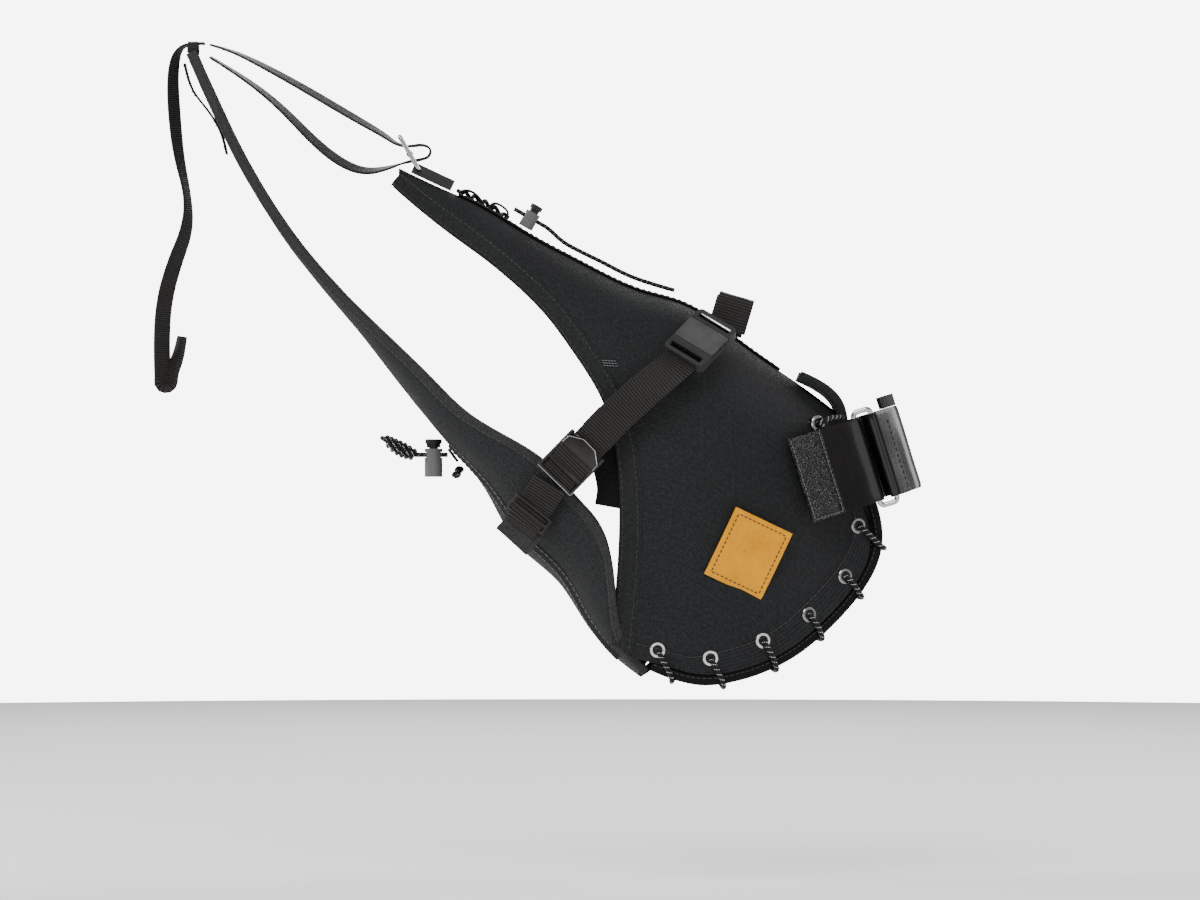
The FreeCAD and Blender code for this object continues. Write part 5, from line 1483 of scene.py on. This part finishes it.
LOCK_ACROSS = LOCK.to_3x3() @ ACROSS
BUCKLE_ACROSS = BUCKLE.to_3x3() @ ACROSS
SLIDER_ACROSS = SLIDER.to_3x3() @ ACROSS
for name, lock, buckle, slider, rail, sign in (
        ("right", LOCK, BUCKLE, SLIDER, RAIL, -1.0),
        ("left", FLIP @ LOCK, FLIP @ BUCKLE, FLIP @ SLIDER, FLIP @ RAIL, 1.0)):
    mirror = Vector((1.0, -sign, 1.0))
    lock_across = LOCK_ACROSS * mirror
    buckle_across = BUCKLE_ACROSS * mirror
    slider_across = SLIDER_ACROSS * mirror

    # Upper strap from the buckle down to the ladder lock.
    web_points = local(buckle, (-14.6, 0, -2.2), (-17.5, 0, -0.9), (-21.0, 0, 0.0)) + local(
        lock, (36.0, 0, 0.6), (20.0, 0, 0.6), (13.0, 0, -1.0))
    blended = [buckle_across.lerp(lock_across, min(1.0, i / 60.0)).normalized() for i in range(80)]
    upper, line, found = web(f"rail_strap_{name}", web_points, blended, None, f"rail_webbing_{name}",
                             count=80, waver=0.0)
    lengths = chords(line)
    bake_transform(upper)

    # The folded end that stands on the strap just above the ladder lock.
    cuff = Build()
    rows = ([], [], [])
    cuff_shares = np.linspace(-0.5, 0.5, 14)
    for i in range(58, 73):
        point, (_, side_way, up) = line[i], found[i]
        raised = 0.0013 if i < 59 or i > 71 else 0.0021
        for row, high in zip(rows, (raised, 0.00085)):
            row.append([point + side_way * (share * 0.0206) + up * high for share in cuff_shares])
        rows[2].append([(float(lengths[i]), share * 0.0206) for share in cuff_shares])
    cuff.slab(*rows)
    folded = cuff.make(f"rail_strap_cuff_{name}", "webbing", "webbing", None)
    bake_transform(folded)

    # Webbing seen through the ladder lock's windows.
    window_points = local(lock, (12.6, 0, -0.6), (6.0, 0, 0.4), (0.5, 0, 1.2), (-3.5, 0, 0.3),
                          (-7.0, 0, -1.2), (-10.5, 0, -0.6), (-13.2, 0, -0.3))
    web(f"lock_webbing_{name}", window_points, lock_across, f"ladder_lock_{name}", count=40, wide=0.0217)

    # Lower strap: sewn to the wing, through the slider and up to the ladder lock.
    anchor = mm(-207.0, sign * 54.5, -47.0)
    second = mm(-203.6, sign * 57.6, -42.2)
    lower_points = [anchor, second] + local(slider, (-5.5, 0, 0.6), (-2.0, 0, 0.9), (2.0, 0, -0.4)) + local(
        lock, (-16.6, 0, 0.0))
    web(f"anchor_strap_{name}", lower_points, slider_across, "lower_panel", f"lower_webbing_{name}")

    # Loose end tucked behind the lock.
    tail_points = [mm(-157.5, sign * 46.5, 3.0), mm(-155.0, sign * 46.5, -1.5), mm(-152.5, sign * 47.0, -9.0),
                   mm(-150.8, sign * 48.0, -18.5), mm(-152.0, sign * 48.5, -29.5)]
    web(f"strap_tail_{name}", tail_points, Vector((0.88, 0.0, 0.48)), "lower_panel", count=40, wide=0.0195,
        material="piping")

    # Loop over the saddle rail, round one rail's worth of room.
    loop_points = local(rail, (0, -4.3, -7.0), (0, -4.32, -3.5), (0, -4.25, 0.6), (0, -3.1, 3.05),
                        (0, 0, 4.32), (0, 3.1, 3.05), (0, 4.25, 0.6), (0, 4.3, -4.0), (0, 4.3, -9.5),
                        (0, 4.3, -15.0))
    rail_side = (RAIL.to_3x3() @ Vector((1.0, 0.0, 0.0))) * mirror
    web(f"rail_loop_web_{name}", loop_points, rail_side, "bag_shell", f"rail_loop_{name}",
        count=80, thick=0.00155)

    # Ladder lock: three bars in a rounded frame with a wedge-shaped thumb tab standing off the top.
    build = Build()
    for y in (-0.0118, 0.0118):
        build.block((0.0, y, 0.0), (0.0272, 0.0018, 0.0031), lock, 0.0006)
    for x, z, long, high in ((-0.0128, 0.0, 0.0022, 0.0031), (-0.0052, -0.0001, 0.0026, 0.0026),
                             (0.0030, 0.0002, 0.0026, 0.0030)):
        build.block((x, 0.0, z), (long, 0.0232, high), lock, 0.0007)
    wedge = ((0.0046, -0.0114), (0.0088, -0.0112), (0.0136, -0.0048), (0.0138, 0.0040), (0.0096, 0.0112),
             (0.0046, 0.0114))
    wedge_place = lock @ Matrix.Translation((0.0, 0.0, 0.0009)) @ Matrix.Rotation(math.radians(-5.0), 4, "Y")
    build.plate(wedge, -0.0006, 0.0007, wedge_place)
    build.make(f"strap_lock_{name}", "gunmetal", "black_plastic", f"ladder_lock_{name}",
               f"ladder_lock_{name}")

    # Painted highlight: a bright metal line round the thumb tab and two sides of the frame, standing in for
    # the shine along their bevelled edges.
    build = Build()
    leaning = Vector((0.0, 1.0, 0.3))
    rim = [wedge_place @ Vector((x, y, 0.0008)) for x, y in straight(wedge, 60)]
    build.sweep(rim, leaning, round_profile(0.0003, 8))
    frame_edge = straight([(0.0046, -0.0124), (-0.0136, -0.0124), (-0.0136, 0.0124)], 40)
    build.sweep([lock @ Vector((x, y, 0.0015)) for x, y in frame_edge], leaning, round_profile(0.0003, 8))
    build.make(f"lock_highlight_line_{name}", "edge_highlight_metal", "black_plastic", f"ladder_lock_{name}")

    # Slider: three bars in a frame.
    build = Build()
    for x, lift in ((-0.0042, 0.0), (0.0, 0.0003), (0.0042, 0.0)):
        build.block((x, 0.0, lift), (0.0017, 0.0240, 0.0032), slider, 0.0007)
    for y in (-0.0117, 0.0117):
        build.block((0.0, y, 0.0), (0.0098, 0.0018, 0.0030), slider, 0.0006)
    build.make(f"strap_slider_{name}", "gunmetal", "black_plastic", "lower_panel", f"web_slider_{name}")

    # Bar and catch of the magnetic buckle, whose body is the CAD's. The bar is real, but its bright nickel is
    # a painted highlight for the glossy bar.
    build = Build()
    build.block((0.0145, 0.0, 0.0016), (0.0024, 0.0216, 0.0024), buckle, 0.0008)
    build.make(f"buckle_bar_{name}", "nickel", "black_plastic", "bag_shell")
    build = Build()
    build.block((-0.0125, sign * 0.0118, -0.0034), (0.0052, 0.0026, 0.0020), buckle, 0.0005)
    build.make(f"buckle_catch_{name}", "gunmetal", "black_plastic", "bag_shell")

# Folded cloth tabs that carry the sliders.
for name, sign in SIDES:
    tab_points = [mm(-207.5, sign * 54.9, -48.0), mm(-203.0, sign * 57.4, -43.0),
                  mm(-199.5, sign * 58.6, -38.6)]
    # One CAD node holds both tabs.
    nodes = ("sewn_anchors",) if sign < 0 else ()
    web(f"wing_tab_{name}", tab_points, SLIDER_ACROSS * Vector((1.0, -sign, 1.0)), "lower_panel", *nodes,
        count=24, wide=0.0226, thick=0.0022, material="grey_binding")

# ---------------------------------------------------------------- label

LABEL_X, LABEL_Z = -77.5, -55.0
label_outward = side_normal(LABEL_X)
label_origin = Vector((LABEL_X, -half_width(LABEL_X), LABEL_Z)) + label_outward * 2.1
LABEL = placing(tuple(label_origin), (0.43, 0.0, 0.90), label_outward)
SEAM_LONG, SEAM_TALL = 17.6, 15.1


def on_label(a, b, lift):
    """A place on the label, which follows the curve of the panel under it."""
    world_x = LABEL_X + a * 0.43
    slope = (half_width(LABEL_X + 1) - half_width(LABEL_X - 1)) / 2.0
    drop = half_width(LABEL_X) + (world_x - LABEL_X) * slope - half_width(world_x)
    return LABEL @ mm(a, b, lift - drop)


top, under, uv = [], [], []
for a in np.linspace(-20.4, 20.4, 60):
    rows = ([], [], [])
    for b in np.linspace(-17.9, 17.9, 54):
        rim = max(abs(a) - 18.9, abs(b) - 16.4, 0.0) / 1.5
        seam = min(abs(abs(a) - SEAM_LONG), abs(abs(b) - SEAM_TALL))
        inside = abs(a) < 18.2 and abs(b) < 15.7
        groove = 0.28 * math.exp(-(seam / 0.5) ** 2) if inside else 0.0
        puff = 0.75 - 0.5 * rim ** 2 - groove + 0.08 * noise.noise(Vector((a / 6.0, b / 6.0, 2.0)))
        rows[0].append(on_label(a, b, puff))
        rows[1].append(on_label(a, b, -0.9))
        rows[2].append((a * 0.001, b * 0.001))
    top.append(rows[0])
    under.append(rows[1])
    uv.append(rows[2])
build = Build()
build.slab(top, under, uv)
build.make("hide_label", "leather", "label_leather", "bag_shell", "side_label", crease=60.0)
build = Build()
corners = [(-SEAM_LONG, -SEAM_TALL), (SEAM_LONG, -SEAM_TALL), (SEAM_LONG, SEAM_TALL), (-SEAM_LONG, SEAM_TALL)]
for first, second in zip(corners, corners[1:] + corners[:1]):
    path = [on_label(a, b, 0.5) for a, b in between(first, second, np.linspace(0.0, 1.0, 24))]
    build.stitches(path, [label_outward] * 24, long=0.0019, gap=0.0008, radius=0.0003)
build.make("label_sewing", "ink", "label_leather", "bag_shell")

# A plain pressed ring with a small lozenge in it, just under the hide's surface.
build = Build()
MARK_LIFT = 0.62
mark_section = flat_profile(0.0002, 0.0006)
turns = np.linspace(0.0, 2.0 * math.pi, 60)
circle = [on_label(9.0 * math.cos(t), 9.0 * math.sin(t), MARK_LIFT) for t in turns]
build.sweep(circle, label_outward, mark_section)
lozenge = [(4.2, 0.0), (0.0, 3.4), (-4.2, 0.0), (0.0, -3.4)]
for first, second in zip(lozenge, lozenge[1:] + lozenge[:1]):
    path = [on_label(a, b, MARK_LIFT) for a, b in between(first, second, np.linspace(0.0, 1.0, 12))]
    build.sweep(path, label_outward, mark_section)
build.make("label_mark", "ink", "label_leather", "bag_shell")

# ---------------------------------------------------------------- small fittings

# Patch that holds the lower cord, and the cord's knot.
build = Build()
tab_place = placing((-241.2, 0.0, -0.8), (0.6, 0.0, -0.8), (-0.8, 0.0, -0.6))
build.block((0.0, 0.0, 0.0), (0.0088, 0.0098, 0.0015), tab_place, 0.0005)
build.make("bungee_patch", "binding", "tab_patch", "lower_panel", "lower_bungee_tab")
build = Build()
knot_place = placing((-238.6, 0.0, -10.2), (0.5, 0.0, 0.85), (-0.85, 0.0, -0.5))
knot = []
for t in np.linspace(0.0, 2.0 * math.pi, 70)[:-1]:
    knot.append(knot_place @ mm(1.15 * (math.sin(t) + 1.7 * math.sin(2.0 * t)),
                                1.15 * (math.cos(t) - 1.7 * math.cos(2.0 * t)),
                                -1.3 * math.sin(3.0 * t)))
build.sweep(knot + [knot[0]], UP_POST, round_profile(0.0012, 8))
build.make("bungee_knot", "bungee", "elastic_cord", "lower_panel", "lower_bungee_knot")

# The cord's spare end, wound round both strands of its loop.
HITCH_LINE = ((-262.6, -0.5), (-266.0, 0.8), (-270.0, 2.5), (-276.0, 5.8), (-279.0, 8.0))
middle = smooth(side(HITCH_LINE), 160)
wound = []
for i, point in enumerate(middle):
    t = i / (len(middle) - 1)
    swell = math.sin(math.pi * (0.12 + 0.80 * t)) ** 0.6
    turn = 13.0 * math.pi * t
    wound.append(point + mm(0.4 * math.sin(turn), (3.4 + 2.4 * t) * math.cos(turn),
                            3.5 * swell * math.sin(turn)))
build = Build()
build.sweep(wound, Vector((1.0, 0.1, 0.2)), round_profile(0.0013, 8))
build.make("keel_bungee_hitch", "braid", "elastic_cord", "lower_panel")

# ---------------------------------------------------------------- CAD pieces that stay


def finished(material, *names, bevel=0.0):
    """Gives CAD nodes their material and, where they are moulded, softened edges."""
    for name in names:
        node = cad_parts[name]
        node.data.materials.clear()
        node.data.materials.append(M[material])
        if bevel:
            soften = node.modifiers.new("soften", "BEVEL")
            soften.width = bevel
            soften.segments = 2
            soften.limit_method = "ANGLE"
            soften.angle_limit = math.radians(50.0)
            soften.harden_normals = False


finished("nickel", "eyelets", "post_ring", "tongue_ring")
finished("plate", "release_plate_right", "release_plate_left", bevel=0.0003)
finished("magnet", "buckle_magnets")
finished("plastic", "buckle_frame_right", "buckle_frame_left", "tongue_keeper", bevel=0.0005)
finished("plastic", "tongue_roller")
finished("grey_plastic", "top_lock_barrel", "lower_lock_barrel", bevel=0.0004)
finished("plastic", "top_lock_plunger", "lower_lock_plunger")
finished("steel", "top_lock_spring", "lower_lock_spring")
